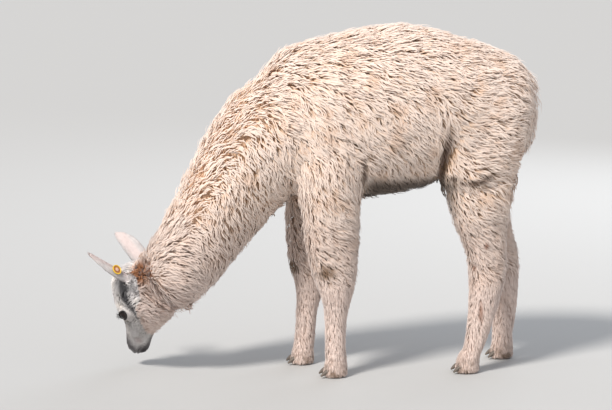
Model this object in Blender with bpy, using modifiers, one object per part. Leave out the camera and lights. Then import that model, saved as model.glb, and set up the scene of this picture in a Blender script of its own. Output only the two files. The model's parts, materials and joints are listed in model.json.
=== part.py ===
"""A young woolly llama, grazing, as a still life-size model. Metres, +Z up.

The animal faces -Y and its left side is +X. The origin is on the floor, under the middle of its
box. Every solid is the outer shape of a named piece of the body with the coat on it.

The body is lofted whole from a few sections of trunk, neck, head, tail and legs. Flat cutters
then part it into its named pieces, a third of a millimetre from each other.
"""
import math

import bmesh
import bpy
from mathutils import Euler, Matrix, Vector

# ---------------------------------------------------------------- driving dimensions
GAP = 0.0003              # clearance between neighbouring solids
MERGE = 0.000002          # points closer than this are one point

BACK_HEIGHT = 1.040       # top of the coat over the loin
BARREL_HALF_WIDTH = 0.208
RUMP_END = 0.672          # rearmost point of the coat, which sets the trunk's last sections
FORE_FOOT_X = 0.098       # feet to either side of the middle
HIND_FOOT_X = 0.096

# The head hangs from the poll. Its own frame is level: nose -Y, left +X, forehead +Z.
POLL = Vector((0.004, -0.522, 0.318))
HEAD_NOD = math.radians(58)      # nose below level
HEAD_CANT = math.radians(26)     # left ear lower than the right
HEAD_TURN = math.radians(-34)    # towards its own right
HEAD_LENGTH = 0.300              # poll to lips

EYE_RADIUS = 0.0175
EYE_PLACE = Vector((0.0505, -0.134, -0.024))
EAR_LENGTH = 0.148
EAR_HALF_WIDTH = 0.0265
EAR_THICKNESS = 0.0065
EAR_PLACE = Vector((0.045, -0.006, 0.004))
# How far each ear leans back and out: the right one pricks forward
EAR_LEAN = {1: (math.radians(22), math.radians(18)), -1: (math.radians(-10), math.radians(33))}
EAR_FACING = math.radians(35)    # their hollows face forward and out
TAG_RADIUS = 0.0150
TAG_UP_THE_EAR = 0.058    # how far up the ear the tag is pinned
TAG_ROUND_THE_EAR = math.radians(35)

ANKLE_HEIGHT = 0.056
TOE_CLEFT = 0.016         # how deep the toes are parted at the front
TOE_OFFSET = 0.0165       # a toe's nail to either side of the foot's middle
TOE_SPLAY = math.radians(6)
NAIL_LENGTH = 0.023
NAIL_HALF_WIDTH = 0.0085

FAR = 0.8                 # far enough to clear whatever a cutter has to clear

# ---------------------------------------------------------------- scene and materials
for stale in list(bpy.data.objects):
    bpy.data.objects.remove(stale)
MODEL = bpy.data.collections.new("llama")
CUTTERS = bpy.data.collections.new("cutters")
for collection in (MODEL, CUTTERS):
    bpy.context.scene.collection.children.link(collection)


def material(name, colour, roughness):
    """A plain Principled material."""
    made = bpy.data.materials.new(name)
    made.use_nodes = True
    shader = made.node_tree.nodes["Principled BSDF"]
    shader.inputs["Base Color"].default_value = (*colour, 1)
    shader.inputs["Roughness"].default_value = roughness
    return made


FLEECE = material("cream_fleece", (0.80, 0.69, 0.56), 0.95)
SHORT_HAIR = material("pale_short_hair", (0.72, 0.66, 0.60), 0.85)
HORN = material("dark_horn", (0.06, 0.05, 0.045), 0.5)
EYE = material("dark_eye", (0.012, 0.009, 0.008), 0.06)
TAG = material("yellow_plastic", (0.85, 0.55, 0.04), 0.4)


# ---------------------------------------------------------------- modelling helpers
def add(name, mesh, collection=CUTTERS):
    """A named object for a mesh."""
    made = bpy.data.objects.new(name, mesh)
    collection.objects.link(made)
    return made


def bake(thing):
    """Give an object the mesh that its modifiers make."""
    bpy.context.view_layer.update()
    graph = bpy.context.evaluated_depsgraph_get()
    mesh = bpy.data.meshes.new_from_object(thing.evaluated_get(graph))
    thing.modifiers.clear()
    thing.data = mesh


def place(thing, matrix):
    """Move a mesh for good."""
    thing.data.transform(matrix)
    return thing


def section(centre, across, up, half_width, above, below, fullness=2.0, sides=12, phase=0.5):
    """A ring of points: an ellipse with its own reach above and below, squarer when fuller.

    Subdivision draws a ring in towards its middle, so the ring is made larger by that much.
    """
    swell = 6 / (4 + 2 * math.cos(2 * math.pi / sides))
    power = 2 / fullness
    ring = []
    for step in range(sides):
        angle = 2 * math.pi * (step + phase) / sides
        side = math.copysign(abs(math.cos(angle)) ** power, math.cos(angle))
        rise = math.copysign(abs(math.sin(angle)) ** power, math.sin(angle))
        reach = above if rise > 0 else below
        ring.append(centre + across * (side * half_width * swell) + up * (rise * reach * swell))
    return ring


def loft(name, rings, levels=1):
    """A closed soft form: a cage through the rings, capped and subdivided."""
    shape = bmesh.new()
    loops = [[shape.verts.new(point) for point in ring] for ring in rings]
    for near, far in zip(loops, loops[1:]):
        for this in range(len(near)):
            after = (this + 1) % len(near)
            shape.faces.new((near[this], near[after], far[after], far[this]))
    shape.faces.new(loops[0])
    shape.faces.new(loops[-1])
    bmesh.ops.recalc_face_normals(shape, faces=shape.faces)
    mesh = bpy.data.meshes.new(name)
    shape.to_mesh(mesh)
    shape.free()
    made = add(name, mesh)
    if levels:
        soft = made.modifiers.new("soft", "SUBSURF")
        soft.levels = levels
        soft.render_levels = levels
        bake(made)
    return made


def prism(name, outline, start, end):
    """A cutter: an outline in x and z, drawn out along y."""
    shape = bmesh.new()
    base = shape.faces.new([shape.verts.new((x, start, z)) for x, z in outline])
    drawn = bmesh.ops.extrude_face_region(shape, geom=[base])["geom"]
    moved = [item for item in drawn if isinstance(item, bmesh.types.BMVert)]
    bmesh.ops.translate(shape, verts=moved, vec=(0, end - start, 0))
    bmesh.ops.recalc_face_normals(shape, faces=shape.faces)
    mesh = bpy.data.meshes.new(name)
    shape.to_mesh(mesh)
    shape.free()
    return add(name, mesh)


def block(name, low, high, matrix=Matrix()):
    """A cutter: a box between two corners, then placed."""
    made = prism(name, [(low[0], low[2]), (high[0], low[2]), (high[0], high[2]), (low[0], high[2])],
                 low[1], high[1])
    return place(made, matrix)


def combine(thing, other, operation, keep_other=False, solver_kind="EXACT"):
    """Join, cut or intersect one closed mesh with another."""
    solver = thing.modifiers.new(operation.lower(), "BOOLEAN")
    solver.solver = solver_kind
    solver.operation = operation
    solver.object = other
    bake(thing)
    if not keep_other:
        bpy.data.objects.remove(other)
    shape = bmesh.new()
    shape.from_mesh(thing.data)
    bmesh.ops.remove_doubles(shape, verts=shape.verts, dist=MERGE)
    bmesh.ops.dissolve_degenerate(shape, dist=MERGE, edges=shape.edges)
    shape.to_mesh(thing.data)
    shape.free()
    return thing


def keep_side(thing, point, normal):
    """Cut a closed mesh flat, and keep and close the side that the normal points to."""
    shape = bmesh.new()
    shape.from_mesh(thing.data)
    bmesh.ops.bisect_plane(shape, geom=shape.verts[:] + shape.edges[:] + shape.faces[:],
                           plane_co=point, plane_no=normal, clear_inner=True, dist=MERGE)
    rim = [edge for edge in shape.edges if edge.is_boundary]
    bmesh.ops.holes_fill(shape, edges=rim)
    bmesh.ops.recalc_face_normals(shape, faces=shape.faces)
    shape.to_mesh(thing.data)
    shape.free()
    return thing


def slice_off(thing, point, normal, name):
    """Part a closed mesh along a plane: the piece on the normal's side is returned."""
    half_gap = normal * (GAP / 2)
    piece = add(name, thing.data.copy())
    keep_side(piece, point + half_gap, normal)
    keep_side(thing, point - half_gap, -normal)
    return piece


def grown(thing):
    """Push a solid's skin out by the gap, so that it cuts a seat for itself."""
    wider = thing.modifiers.new("gap", "DISPLACE")
    wider.strength = GAP * math.sqrt(3)        # a box's corners move this far to move its faces by GAP
    wider.mid_level = 0
    bake(thing)
    return thing


def part_off(body, cutter, name):
    """Take what lies in the cutter off the body, as a piece of its own with a gap round it.

    The exact solver leaves a torn edge where three flat cuts meet, so these use the manifold one.
    """
    piece = add(name, body.data.copy())
    combine(piece, cutter, "INTERSECT", keep_other=True, solver_kind="MANIFOLD")
    combine(body, grown(cutter), "DIFFERENCE", solver_kind="MANIFOLD")
    return piece


def finish(thing, name, finish_material):
    """Put a finished piece in the model under its node's name."""
    if CUTTERS.objects.get(thing.name):
        CUTTERS.objects.unlink(thing)
    MODEL.objects.link(thing)
    thing.name = name
    thing.data.name = name
    thing.data.materials.clear()
    thing.data.materials.append(finish_material)
    thing.data.shade_smooth()
    thing.data.set_sharp_from_angle(angle=math.radians(35))


# ---------------------------------------------------------------- trunk
def trunk():
    """The barrel: sections across the body from the breast to the rump."""
    sections = (
        # y, top, bottom, half width
        (-0.175, 0.900, 0.610, 0.070),
        (-0.115, 0.962, 0.565, 0.128),
        (-0.040, 0.990, 0.538, 0.172),
        (0.070, 1.010, 0.528, 0.196),
        (0.180, BACK_HEIGHT - 0.008, 0.530, BARREL_HALF_WIDTH),
        (0.285, BACK_HEIGHT + 0.004, 0.543, BARREL_HALF_WIDTH),
        (0.375, 1.020, 0.570, 0.204),
        (0.460, 0.988, 0.595, 0.198),
        (0.550, 0.966, 0.605, 0.178),
        (0.620, 0.936, 0.630, 0.150),
        (RUMP_END - 0.008, 0.875, 0.690, 0.090),
    )
    rings = []
    for y, top, bottom, half_width in sections:
        middle = 0.55 * top + 0.45 * bottom
        rings.append(section(Vector((0, y, middle)), Vector((1, 0, 0)), Vector((0, 0, 1)),
                             half_width, top - middle, middle - bottom, 2.2, 12))
    return loft("trunk", rings)


# ---------------------------------------------------------------- neck
def neck():
    """The woolly neck: sections square to a line from the withers down to the poll."""
    sections = (
        # x, y, z of the middle, half depth, half width
        (0.000, -0.020, 0.765, 0.170, 0.162),
        (0.000, -0.124, 0.714, 0.190, 0.160),
        (0.000, -0.196, 0.623, 0.155, 0.146),
        (0.000, -0.256, 0.538, 0.141, 0.132),
        (0.001, -0.305, 0.459, 0.127, 0.120),
        (0.002, -0.355, 0.384, 0.118, 0.110),
        (0.003, -0.408, 0.321, 0.115, 0.103),
        (0.000, -0.456, 0.270, 0.108, 0.096),
        (-0.010, -0.490, 0.238, 0.080, 0.075),
    )
    middles = [Vector(row[:3]) for row in sections]
    rings = []
    for index, (middle, row) in enumerate(zip(middles, sections)):
        before = middles[max(index - 1, 0)]
        after = middles[min(index + 1, len(middles) - 1)]
        along = (after - before).normalized()
        across = Vector((1, 0, 0))
        up = across.cross(along).normalized()
        rings.append(section(middle, across, up, row[4], row[3], row[3], 2.0, 10))
    return loft("neck", rings)


# ---------------------------------------------------------------- head
HEAD_FRAME = Matrix.Translation(POLL) @ Euler((HEAD_NOD, HEAD_CANT, HEAD_TURN)).to_matrix().to_4x4()


def head():
    """The skull with its short coat, in the head's level frame, then hung from the poll."""
    sections = (
        # how far from the poll, as a share of the length; top, bottom, half width
        (-0.10, 0.005, -0.100, 0.036),
        (-0.02, 0.038, -0.132, 0.058),
        (0.10, 0.058, -0.150, 0.066),
        (0.24, 0.064, -0.155, 0.070),
        (0.38, 0.048, -0.147, 0.068),
        (0.51, 0.018, -0.130, 0.057),
        (0.64, -0.017, -0.119, 0.040),
        (0.77, -0.036, -0.117, 0.035),
        (0.88, -0.045, -0.122, 0.035),
        (0.96, -0.054, -0.121, 0.031),
        (1.01, -0.070, -0.108, 0.018),
    )
    rings = []
    for share, top, bottom, half_width in sections:
        middle = 0.5 * (top + bottom)
        rings.append(section(Vector((0, -share * HEAD_LENGTH, middle)), Vector((1, 0, 0)),
                             Vector((0, 0, 1)), half_width, top - middle, middle - bottom, 2.2, 10))
    return place(loft("head", rings), HEAD_FRAME)


def eye(side):
    """An eyeball."""
    mesh = bpy.data.meshes.new("eye")
    shape = bmesh.new()
    bmesh.ops.create_uvsphere(shape, u_segments=10, v_segments=7, radius=EYE_RADIUS)
    shape.to_mesh(mesh)
    shape.free()
    centre = Vector((side * EYE_PLACE.x, EYE_PLACE.y, EYE_PLACE.z))
    return place(add("eye", mesh), HEAD_FRAME @ Matrix.Translation(centre))


def ear_frame(side):
    """The ear's own frame: its length is +Z and its hollow faces -Y."""
    centre = Vector((side * EAR_PLACE.x, EAR_PLACE.y, EAR_PLACE.z))
    back, out = EAR_LEAN[side]
    lean = Matrix.Rotation(-back, 4, "X") @ Matrix.Rotation(side * out, 4, "Y")
    facing = Matrix.Rotation(side * EAR_FACING, 4, "Z")
    return HEAD_FRAME @ Matrix.Translation(centre) @ lean @ facing


def ear(side):
    """A long cupped leaf that bends in at its tip."""
    stations = (
        # share of the length, share of the half width, depth of the cup, bend in towards the middle
        (-0.10, 0.60, 0.015, 0.000),
        (0.16, 0.96, 0.022, -0.001),
        (0.44, 1.10, 0.019, -0.005),
        (0.72, 0.90, 0.011, -0.003),
        (0.92, 0.52, 0.005, 0.005),
        (1.01, 0.16, 0.001, 0.010),
    )
    turns = 4                      # points along the back of the leaf
    rings = []
    for share, width, cup, bend in stations:
        half = EAR_HALF_WIDTH * width
        wall = min(EAR_THICKNESS, half) / 2
        back, front = [], []
        for step in range(turns):
            angle = math.pi * step / (turns - 1)
            x = half * math.cos(angle) - side * bend
            y = cup * math.sin(angle) - cup / 2
            back.append(Vector((x, y + wall, share * EAR_LENGTH)))
            front.append(Vector((x, y - wall, share * EAR_LENGTH)))
        rings.append(back + front[::-1])
    return place(loft("ear", rings), ear_frame(side))


def tag():
    """A round button tag: a rimmed disc behind the ear, a pin, and a small stud in its hollow."""
    pin = 0.0025
    stud = 0.0065
    wall = EAR_THICKNESS / 2 + 0.0012
    plate = wall + 0.0014
    rim = wall + 0.0026
    profile = (
        (0.0, rim), (0.0045, rim), (0.0055, plate), (TAG_RADIUS - 0.003, plate),
        (TAG_RADIUS - 0.002, rim), (TAG_RADIUS, rim), (TAG_RADIUS, wall), (pin, wall),
        (pin, -wall), (stud, -wall), (stud, -plate), (0.0, -rim),
    )
    mesh = bpy.data.meshes.new("ear_tag")
    shape = bmesh.new()
    points = [shape.verts.new((radius, 0, height)) for radius, height in profile]
    for near, far in zip(points, points[1:]):
        shape.edges.new((near, far))
    shape.to_mesh(mesh)
    shape.free()
    made = add("ear_tag", mesh)
    turned = made.modifiers.new("turned", "SCREW")
    turned.steps = 9
    turned.render_steps = 9
    turned.use_merge_vertices = True
    turned.merge_threshold = MERGE
    bake(made)
    face_back = Matrix.Rotation(math.radians(-90), 4, "X")
    round_the_ear = Matrix.Rotation(-TAG_ROUND_THE_EAR, 4, "Z")
    lift = Matrix.Translation((0.0150, 0.0065, TAG_UP_THE_EAR))
    return place(made, ear_frame(1) @ lift @ round_the_ear @ face_back)


# ---------------------------------------------------------------- tail
def tail():
    """A short woolly tail that hangs against the rump."""
    sections = (
        # y, z of the middle, half width, half depth
        (RUMP_END - 0.076, 0.915, 0.030, 0.022),
        (RUMP_END - 0.044, 0.890, 0.040, 0.028),
        (RUMP_END - 0.026, 0.840, 0.046, 0.028),
        (RUMP_END - 0.028, 0.780, 0.044, 0.026),
        (RUMP_END - 0.040, 0.725, 0.034, 0.022),
        (RUMP_END - 0.052, 0.690, 0.016, 0.012),
    )
    rings = [section(Vector((0, y, z)), Vector((1, 0, 0)), Vector((0, 1, 0)), wide, deep, deep, 2.0, 8)
             for y, z, wide, deep in sections]
    return loft("tail", rings)


# ---------------------------------------------------------------- legs and feet
# Each section: height, y of the middle, half length (along y), x from the body's middle, half width
FORELEG = (
    (0.760, 0.050, 0.070, 0.128, 0.050),
    (0.680, 0.040, 0.095, 0.124, 0.074),
    (0.590, 0.034, 0.096, 0.118, 0.080),
    (0.510, 0.037, 0.088, 0.106, 0.076),
    (0.430, 0.042, 0.083, 0.102, 0.069),
    (0.360, 0.043, 0.075, 0.100, 0.061),
    (0.295, 0.054, 0.066, 0.099, 0.055),
    (0.235, 0.060, 0.044, 0.098, 0.043),
    (0.180, 0.052, 0.031, FORE_FOOT_X, 0.034),
    (0.080, 0.055, 0.032, FORE_FOOT_X, 0.034),
    (0.000, 0.053, 0.034, FORE_FOOT_X, 0.036),
)
HINDLEG = (
    (0.860, 0.520, 0.090, 0.118, 0.050),
    (0.780, 0.501, 0.132, 0.120, 0.080),
    (0.690, 0.489, 0.136, 0.116, 0.088),
    (0.610, 0.479, 0.120, 0.110, 0.086),
    (0.530, 0.481, 0.103, 0.104, 0.078),
    (0.450, 0.486, 0.082, 0.100, 0.066),
    (0.375, 0.506, 0.060, 0.098, 0.055),
    (0.310, 0.516, 0.059, 0.097, 0.050),
    (0.220, 0.501, 0.048, HIND_FOOT_X, 0.041),
    (0.140, 0.487, 0.039, HIND_FOOT_X, 0.034),
    (0.090, 0.472, 0.032, HIND_FOOT_X, 0.033),
    (0.050, 0.457, 0.031, HIND_FOOT_X, 0.034),
    (0.000, 0.447, 0.031, HIND_FOOT_X, 0.035),
)
# A foot's sections, from its middle: height, y, half length, half width
FOOT = (
    (0.090, 0.003, 0.032, 0.034),
    (0.050, 0.001, 0.035, 0.036),
    (0.018, -0.004, 0.043, 0.038),
    (0.002, -0.005, 0.043, 0.037),
    (-0.020, -0.004, 0.041, 0.035),
)


def moved_by(stride, height):
    """How far a leg's middle moves at a height: none at the hip, then to the knee, then the foot."""
    foot, knee, knee_height, hip_height = stride
    if height >= hip_height:
        return 0.0
    if height >= knee_height:
        return knee * (hip_height - height) / (hip_height - knee_height)
    return knee + (foot - knee) * (knee_height - height) / knee_height


def leg(sections, side, stride):
    """One leg, from inside the body down through the floor."""
    rings = []
    for z, y, half_length, x, half_width in sections:
        middle = Vector((side * x, y + moved_by(stride, z), z))
        rings.append(section(middle, Vector((1, 0, 0)), Vector((0, 1, 0)),
                             half_width, half_length, half_length, 2.0, 8))
    return loft("leg", rings)


def foot_middle(sections, side, stride):
    """The floor point under a foot."""
    _, y, _, x, _ = sections[-1]
    return Vector((side * x, y + moved_by(stride, 0.0), 0))


def foot(middle):
    """A woolly foot with two toes parted at the front, flat where it stands."""
    rings = []
    front = 6                      # of eight points, the one at the front
    for z, y, half_length, half_width in FOOT:
        ring = section(middle + Vector((0, y, z)), Vector((1, 0, 0)), Vector((0, 1, 0)),
                       half_width, half_length, half_length, 2.3, 8, 0)
        if z < ANKLE_HEIGHT:
            ring[front] += Vector((0, TOE_CLEFT, 0))
        rings.append(ring)
    made = loft("foot", rings)
    keep_side(made, Vector((0, 0, ANKLE_HEIGHT - GAP / 2)), Vector((0, 0, -1)))
    return keep_side(made, Vector((0, 0, 0)), Vector((0, 0, 1)))


def nail(middle, toe):
    """A hooked nail on the front of a toe."""
    shape = (
        # share of the length, height, half width, half depth
        (-0.30, 0.0240, 0.70, 0.0050),
        (0.15, 0.0215, 1.00, 0.0066),
        (0.60, 0.0135, 0.80, 0.0056),
        (1.00, 0.0060, 0.30, 0.0020),
    )
    rings = []
    up = Vector((0, -0.45, 0.9)).normalized()
    for share, height, width, depth in shape:
        rings.append(section(Vector((0, -0.031 - (share - 0.35) * NAIL_LENGTH, height)),
                             Vector((1, 0, 0)), up, NAIL_HALF_WIDTH * width, depth, depth, 2.0, 6))
    splayed = Matrix.Rotation(toe * TOE_SPLAY, 4, "Z")
    spread = Matrix.Translation(middle + Vector((toe * TOE_OFFSET, 0, 0)))
    return place(loft("nail", rings, 0), spread @ splayed)


# ---------------------------------------------------------------- build the body
# Stride: how far the foot and the knee stand from the drawn leg, the knee's and the hip's height
STRIDES = {
    ("foreleg", 1): (FORELEG, (0.000, 0.000, 0.300, 0.620)),
    ("foreleg", -1): (FORELEG, (-0.072, -0.045, 0.300, 0.620)),
    ("hindleg", 1): (HINDLEG, (0.006, 0.000, 0.340, 0.700)),
    ("hindleg", -1): (HINDLEG, (0.152, 0.074, 0.340, 0.700)),
}
SIDE_NAME = {1: "left", -1: "right"}

body = trunk()
combine(body, neck(), "UNION")
combine(body, tail(), "UNION")
for (kind, side), (sections, stride) in STRIDES.items():
    combine(body, leg(sections, side, stride), "UNION")

# ---------------------------------------------------------------- head, eyes, ears and tag
# the plane lies behind the ears above and forward of the cheek wool below
CHEEK_PLANE = HEAD_FRAME @ Vector((0, 0.018, 0))
CHEEK_SLOPE = (HEAD_FRAME.to_3x3() @ Euler((math.radians(-24), 0, 0)).to_matrix()) @ Vector((0, -1, 0))
skull = keep_side(head(), CHEEK_PLANE + CHEEK_SLOPE * (GAP / 2), CHEEK_SLOPE)
for side, side_name in SIDE_NAME.items():
    combine(skull, grown(eye(side)), "DIFFERENCE")
    finish(eye(side), f"eye_{side_name}", EYE)
    combine(skull, grown(ear(side)), "DIFFERENCE")
    leaf = ear(side)
    if side == 1:
        combine(leaf, grown(tag()), "DIFFERENCE")
    finish(leaf, f"ear_{side_name}", SHORT_HAIR)
finish(tag(), "ear_tag", TAG)
finish(skull, "head", SHORT_HAIR)

# ---------------------------------------------------------------- part the body
TAIL_CUT = block("tail_cut", (-0.06, RUMP_END - 0.042, 0.66), (0.06, FAR, 0.93))
finish(part_off(body, TAIL_CUT, "tail"), "tail", FLEECE)

# square to the neck where it leaves the shoulders; the box lies along the neck
NECK_ROOT = Vector((0, -0.215, 0.620))
NECK_SLOPE = math.radians(52)
NECK_CUT = block("neck_cut", (-0.3, -0.6, -0.175), (0.3, 0.0, 0.26),
                 Matrix.Translation(NECK_ROOT) @ Euler((NECK_SLOPE, 0, 0)).to_matrix().to_4x4())
neck_piece = part_off(body, NECK_CUT, "neck")
keep_side(neck_piece, CHEEK_PLANE - CHEEK_SLOPE * (GAP / 2), -CHEEK_SLOPE)
finish(neck_piece, "neck", FLEECE)

# A leg's cutter slants up and out, as shoulder blade and thigh lie on the side of the body.
# upper piece's name, height at the crotch, height at the outside, first and last y, knee height
LEG_CUTS = {
    ("foreleg", 1): ("upper", 0.500, 0.760, -0.085, 0.150, 0.290),
    ("foreleg", -1): ("upper", 0.500, 0.760, -0.108, 0.127, 0.290),
    ("hindleg", 1): ("thigh", 0.545, 0.860, 0.355, FAR, 0.350),
    ("hindleg", -1): ("thigh", 0.545, 0.860, 0.352, FAR, 0.350),
}
DOWN = Vector((0, 0, -1))
for (kind, side), (upper, crotch, outer, start, end, knee) in LEG_CUTS.items():
    stem = f"{kind}_{SIDE_NAME[side]}"
    outline = [(side * x, z) for x, z in
               ((0.004, -0.1), (0.3, -0.1), (0.3, outer), (0.23, outer), (0.004, crotch))]
    whole = part_off(body, prism("leg_cut", outline, start, end), "whole_leg")
    cannon = slice_off(whole, Vector((0, 0, knee)), DOWN, "cannon")
    keep_side(cannon, Vector((0, 0, ANKLE_HEIGHT + GAP / 2)), -DOWN)
    finish(whole, f"{stem}_{upper}", FLEECE)
    finish(cannon, f"{stem}_cannon", FLEECE)
    middle = foot_middle(STRIDES[kind, side][0], side, STRIDES[kind, side][1])
    standing = foot(middle)
    for toe in (-1, 1):
        combine(standing, grown(nail(middle, toe)), "DIFFERENCE")
        finish(nail(middle, toe), f"{stem}_nail_{'outer' if toe == side else 'inner'}", HORN)
    finish(standing, f"{stem}_foot", FLEECE)

finish(body, "trunk", FLEECE)
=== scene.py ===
# %% [markdown]
# # A young woolly llama, grazing
# This lesson dresses a fixed, life-size solid model of a llama. The solids give the outer shape
# of the animal with its coat on. Under that shape we make a skin, shape the head finely, and
# then grow the fleece out of the skin in thousands of small wavy locks, each one a solid.
# We start by loading the solids.

# %% Load the frame
import json
import math

import bpy
import numpy as np
from mathutils import Euler, Matrix, Vector, kdtree
from mathutils.bvhtree import BVHTree

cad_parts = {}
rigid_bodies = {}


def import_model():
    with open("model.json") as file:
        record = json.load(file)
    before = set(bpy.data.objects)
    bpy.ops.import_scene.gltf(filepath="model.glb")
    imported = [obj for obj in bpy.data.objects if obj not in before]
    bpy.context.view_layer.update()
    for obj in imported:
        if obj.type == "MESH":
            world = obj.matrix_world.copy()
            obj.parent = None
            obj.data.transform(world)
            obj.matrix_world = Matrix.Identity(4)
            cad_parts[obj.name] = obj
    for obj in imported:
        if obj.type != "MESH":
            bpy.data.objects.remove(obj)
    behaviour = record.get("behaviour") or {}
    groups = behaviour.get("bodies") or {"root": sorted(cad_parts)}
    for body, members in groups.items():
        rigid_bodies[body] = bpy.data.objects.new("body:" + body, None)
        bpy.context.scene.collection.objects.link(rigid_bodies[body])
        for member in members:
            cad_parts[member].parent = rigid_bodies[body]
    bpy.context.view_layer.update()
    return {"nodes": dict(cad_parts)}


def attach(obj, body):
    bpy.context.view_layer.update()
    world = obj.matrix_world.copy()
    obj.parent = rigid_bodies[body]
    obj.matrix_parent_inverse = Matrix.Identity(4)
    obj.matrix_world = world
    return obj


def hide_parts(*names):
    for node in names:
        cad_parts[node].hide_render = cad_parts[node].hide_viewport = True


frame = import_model()

# %% [markdown]
# ## The places that everything is measured from
# A grazing head is hard to shape in the room's own directions. So we use the head's own frame:
# it starts at the poll, between the ears, and there the nose is -Y, the left is +X and the
# forehead is +Z. The same few numbers hang the solid head, so whatever is made here fits it.

# %% The head's own frame
def tilt(*degrees):
    """A turn about X, then Y, then Z."""
    return Euler([math.radians(angle) for angle in degrees]).to_matrix().to_4x4()


def spin(axis, degrees):
    """A turn about one axis."""
    return Matrix.Rotation(math.radians(degrees), 4, axis)


def sided(place, side):
    """A place on the left (1), or its mirror image on the right (-1)."""
    return Vector((side * place[0], place[1], place[2]))


POLL = Vector((0.004, -0.522, 0.318))
HEAD_FRAME = Matrix.Translation(POLL) @ tilt(58, 26, -34)      # nod, cant and turn
HEAD_AXES = HEAD_FRAME.to_3x3()
EYE_RADIUS = 0.0175
EYE_PLACE = Vector((0.0505, -0.134, -0.024))
EAR_LENGTH = 0.148
EAR_PLACE = Vector((0.045, -0.006, 0.004))
EAR_LEAN = {1: (22, 18), -1: (-10, 33)}                        # back and out, in degrees
EAR_FACING = 35
SIDE_NAME = {1: "left", -1: "right"}


def ear_frame(side):
    """The ear's own frame: its length is +Z and its hollow faces -Y."""
    back, out = EAR_LEAN[side]
    lean = spin("X", -back) @ spin("Y", side * out)
    return HEAD_FRAME @ Matrix.Translation(sided(EAR_PLACE, side)) @ lean @ spin("Z", side * EAR_FACING)


def in_frame(points, matrix):
    """Points, one to a row, as they are measured in a frame."""
    return (points - np.array(matrix.translation)) @ np.array(matrix.to_3x3())


def out_of_frame(points, matrix):
    """Points of a frame, one to a row, back in the room."""
    return points @ np.array(matrix.to_3x3()).T + np.array(matrix.translation)


def folded(local):
    """Points of the head's frame with its right side laid over its left."""
    return np.column_stack((np.abs(local[:, 0]), local[:, 1:]))


def smooth_step(low, high, value):
    """0 below low, 1 above high and a soft rise between. It also falls, where high is the lower."""
    share = np.clip((value - low) / (high - low), 0.0, 1.0)
    return share * share * (3 - 2 * share)


def bump(distance, width):
    """1 in the middle, fading to nothing a few widths away."""
    return np.exp(-(distance / width) ** 2)


def beyond(points, place, axis):
    """How far points lie beyond the plane through a place, square to an axis."""
    return (points - np.array(place)) @ np.array(axis)


def size_of(rows):
    """The length of each row's vector."""
    return np.linalg.norm(rows, axis=-1)


def unit(rows):
    """The same directions, each of length 1."""
    return rows / np.maximum(size_of(rows), 1e-6)[..., None]


def flattened(ways, normals):
    """Directions without their part along the normals."""
    return ways - normals * np.sum(ways * normals, axis=1)[:, None]


# Behind this slanting plane lies the neck, and before it the head
CHEEK_POINT = np.array(HEAD_FRAME @ Vector((0, 0.018, 0)))
CHEEK_SLOPE = np.array(HEAD_AXES @ (tilt(-24, 0, 0).to_3x3() @ Vector((0, -1, 0))))
# The bare face ends at another plane: behind it, and behind the ears, the neck's wool begins
FACE_POINT = HEAD_FRAME @ Vector((0, -0.0715, -0.050))
FACE_SLOPE = HEAD_AXES @ Vector((0, -1.0, 1.92)).normalized()
EARS_BEHIND = HEAD_FRAME @ Vector((0, 0.002, 0))
NOSEWARD = HEAD_AXES @ Vector((0, -1, 0))
print("the nose points along", [round(v, 2) for v in NOSEWARD])

# %% [markdown]
# ## Floor, light and camera
# A pale floor and large soft lights show a woolly coat best: hard light would turn each lock
# into a black line. The main light stands high on the camera's side, as the sun does outdoors,
# and a weaker one fills the far side. The camera stands well back with a long lens.

# %% The room
def new_finish(name, roughness, colour=(0.8, 0.8, 0.8), **constants):
    """A material with constant shader values: returns it, its nodes and its shader."""
    made = bpy.data.materials.new(name)
    made.use_nodes = True
    shader = made.node_tree.nodes["Principled BSDF"]
    shader.inputs["Base Color"].default_value = (*colour, 1)
    shader.inputs["Roughness"].default_value = roughness
    for label, value in constants.items():
        shader.inputs[label.replace("_", " ")].default_value = value
    return made, made.node_tree, shader


def placed(name, data):
    """A new object in the scene."""
    made = bpy.data.objects.new(name, data)
    bpy.context.scene.collection.objects.link(made)
    return made


bpy.ops.mesh.primitive_plane_add(size=120)
floor = bpy.context.object
floor.name = "floor"
floor.data.materials.append(new_finish("pale_floor", 0.9, (0.47, 0.47, 0.46))[0])

world = bpy.data.worlds.new("studio")
bpy.context.scene.world = world
world.use_nodes = True
sky = world.node_tree.nodes["Background"].inputs
sky["Color"].default_value, sky["Strength"].default_value = (0.90, 0.93, 1.0, 1), 0.62

# %% [markdown]
# ### The lamps and the camera
# A lamp shines along its own -Z, so we turn that axis towards the breast. The sun gets a wide
# angle and the area lamp is large, both for soft edges to the shadows between the locks.

# %% The lamps and the camera
def soft_lamp(name, place, aim, kind, power, colour):
    """A lamp that shines at a point."""
    stand = placed(name, bpy.data.lights.new(name, kind))
    stand.data.energy, stand.data.color = power, colour
    stand.location = place
    stand.rotation_euler = (Vector(aim) - Vector(place)).to_track_quat("-Z", "Y").to_euler()
    return stand.data


BREAST = (0, 0, 0.5)
soft_lamp("key", (2.9, -2.8, 5.0), BREAST, "SUN", 3.6, (1.0, 0.955, 0.91)).angle = math.radians(12)
soft_lamp("fill", (-3.5, 2.5, 2.6), BREAST, "AREA", 60, (0.88, 0.93, 1.0)).size = 3.0

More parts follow.
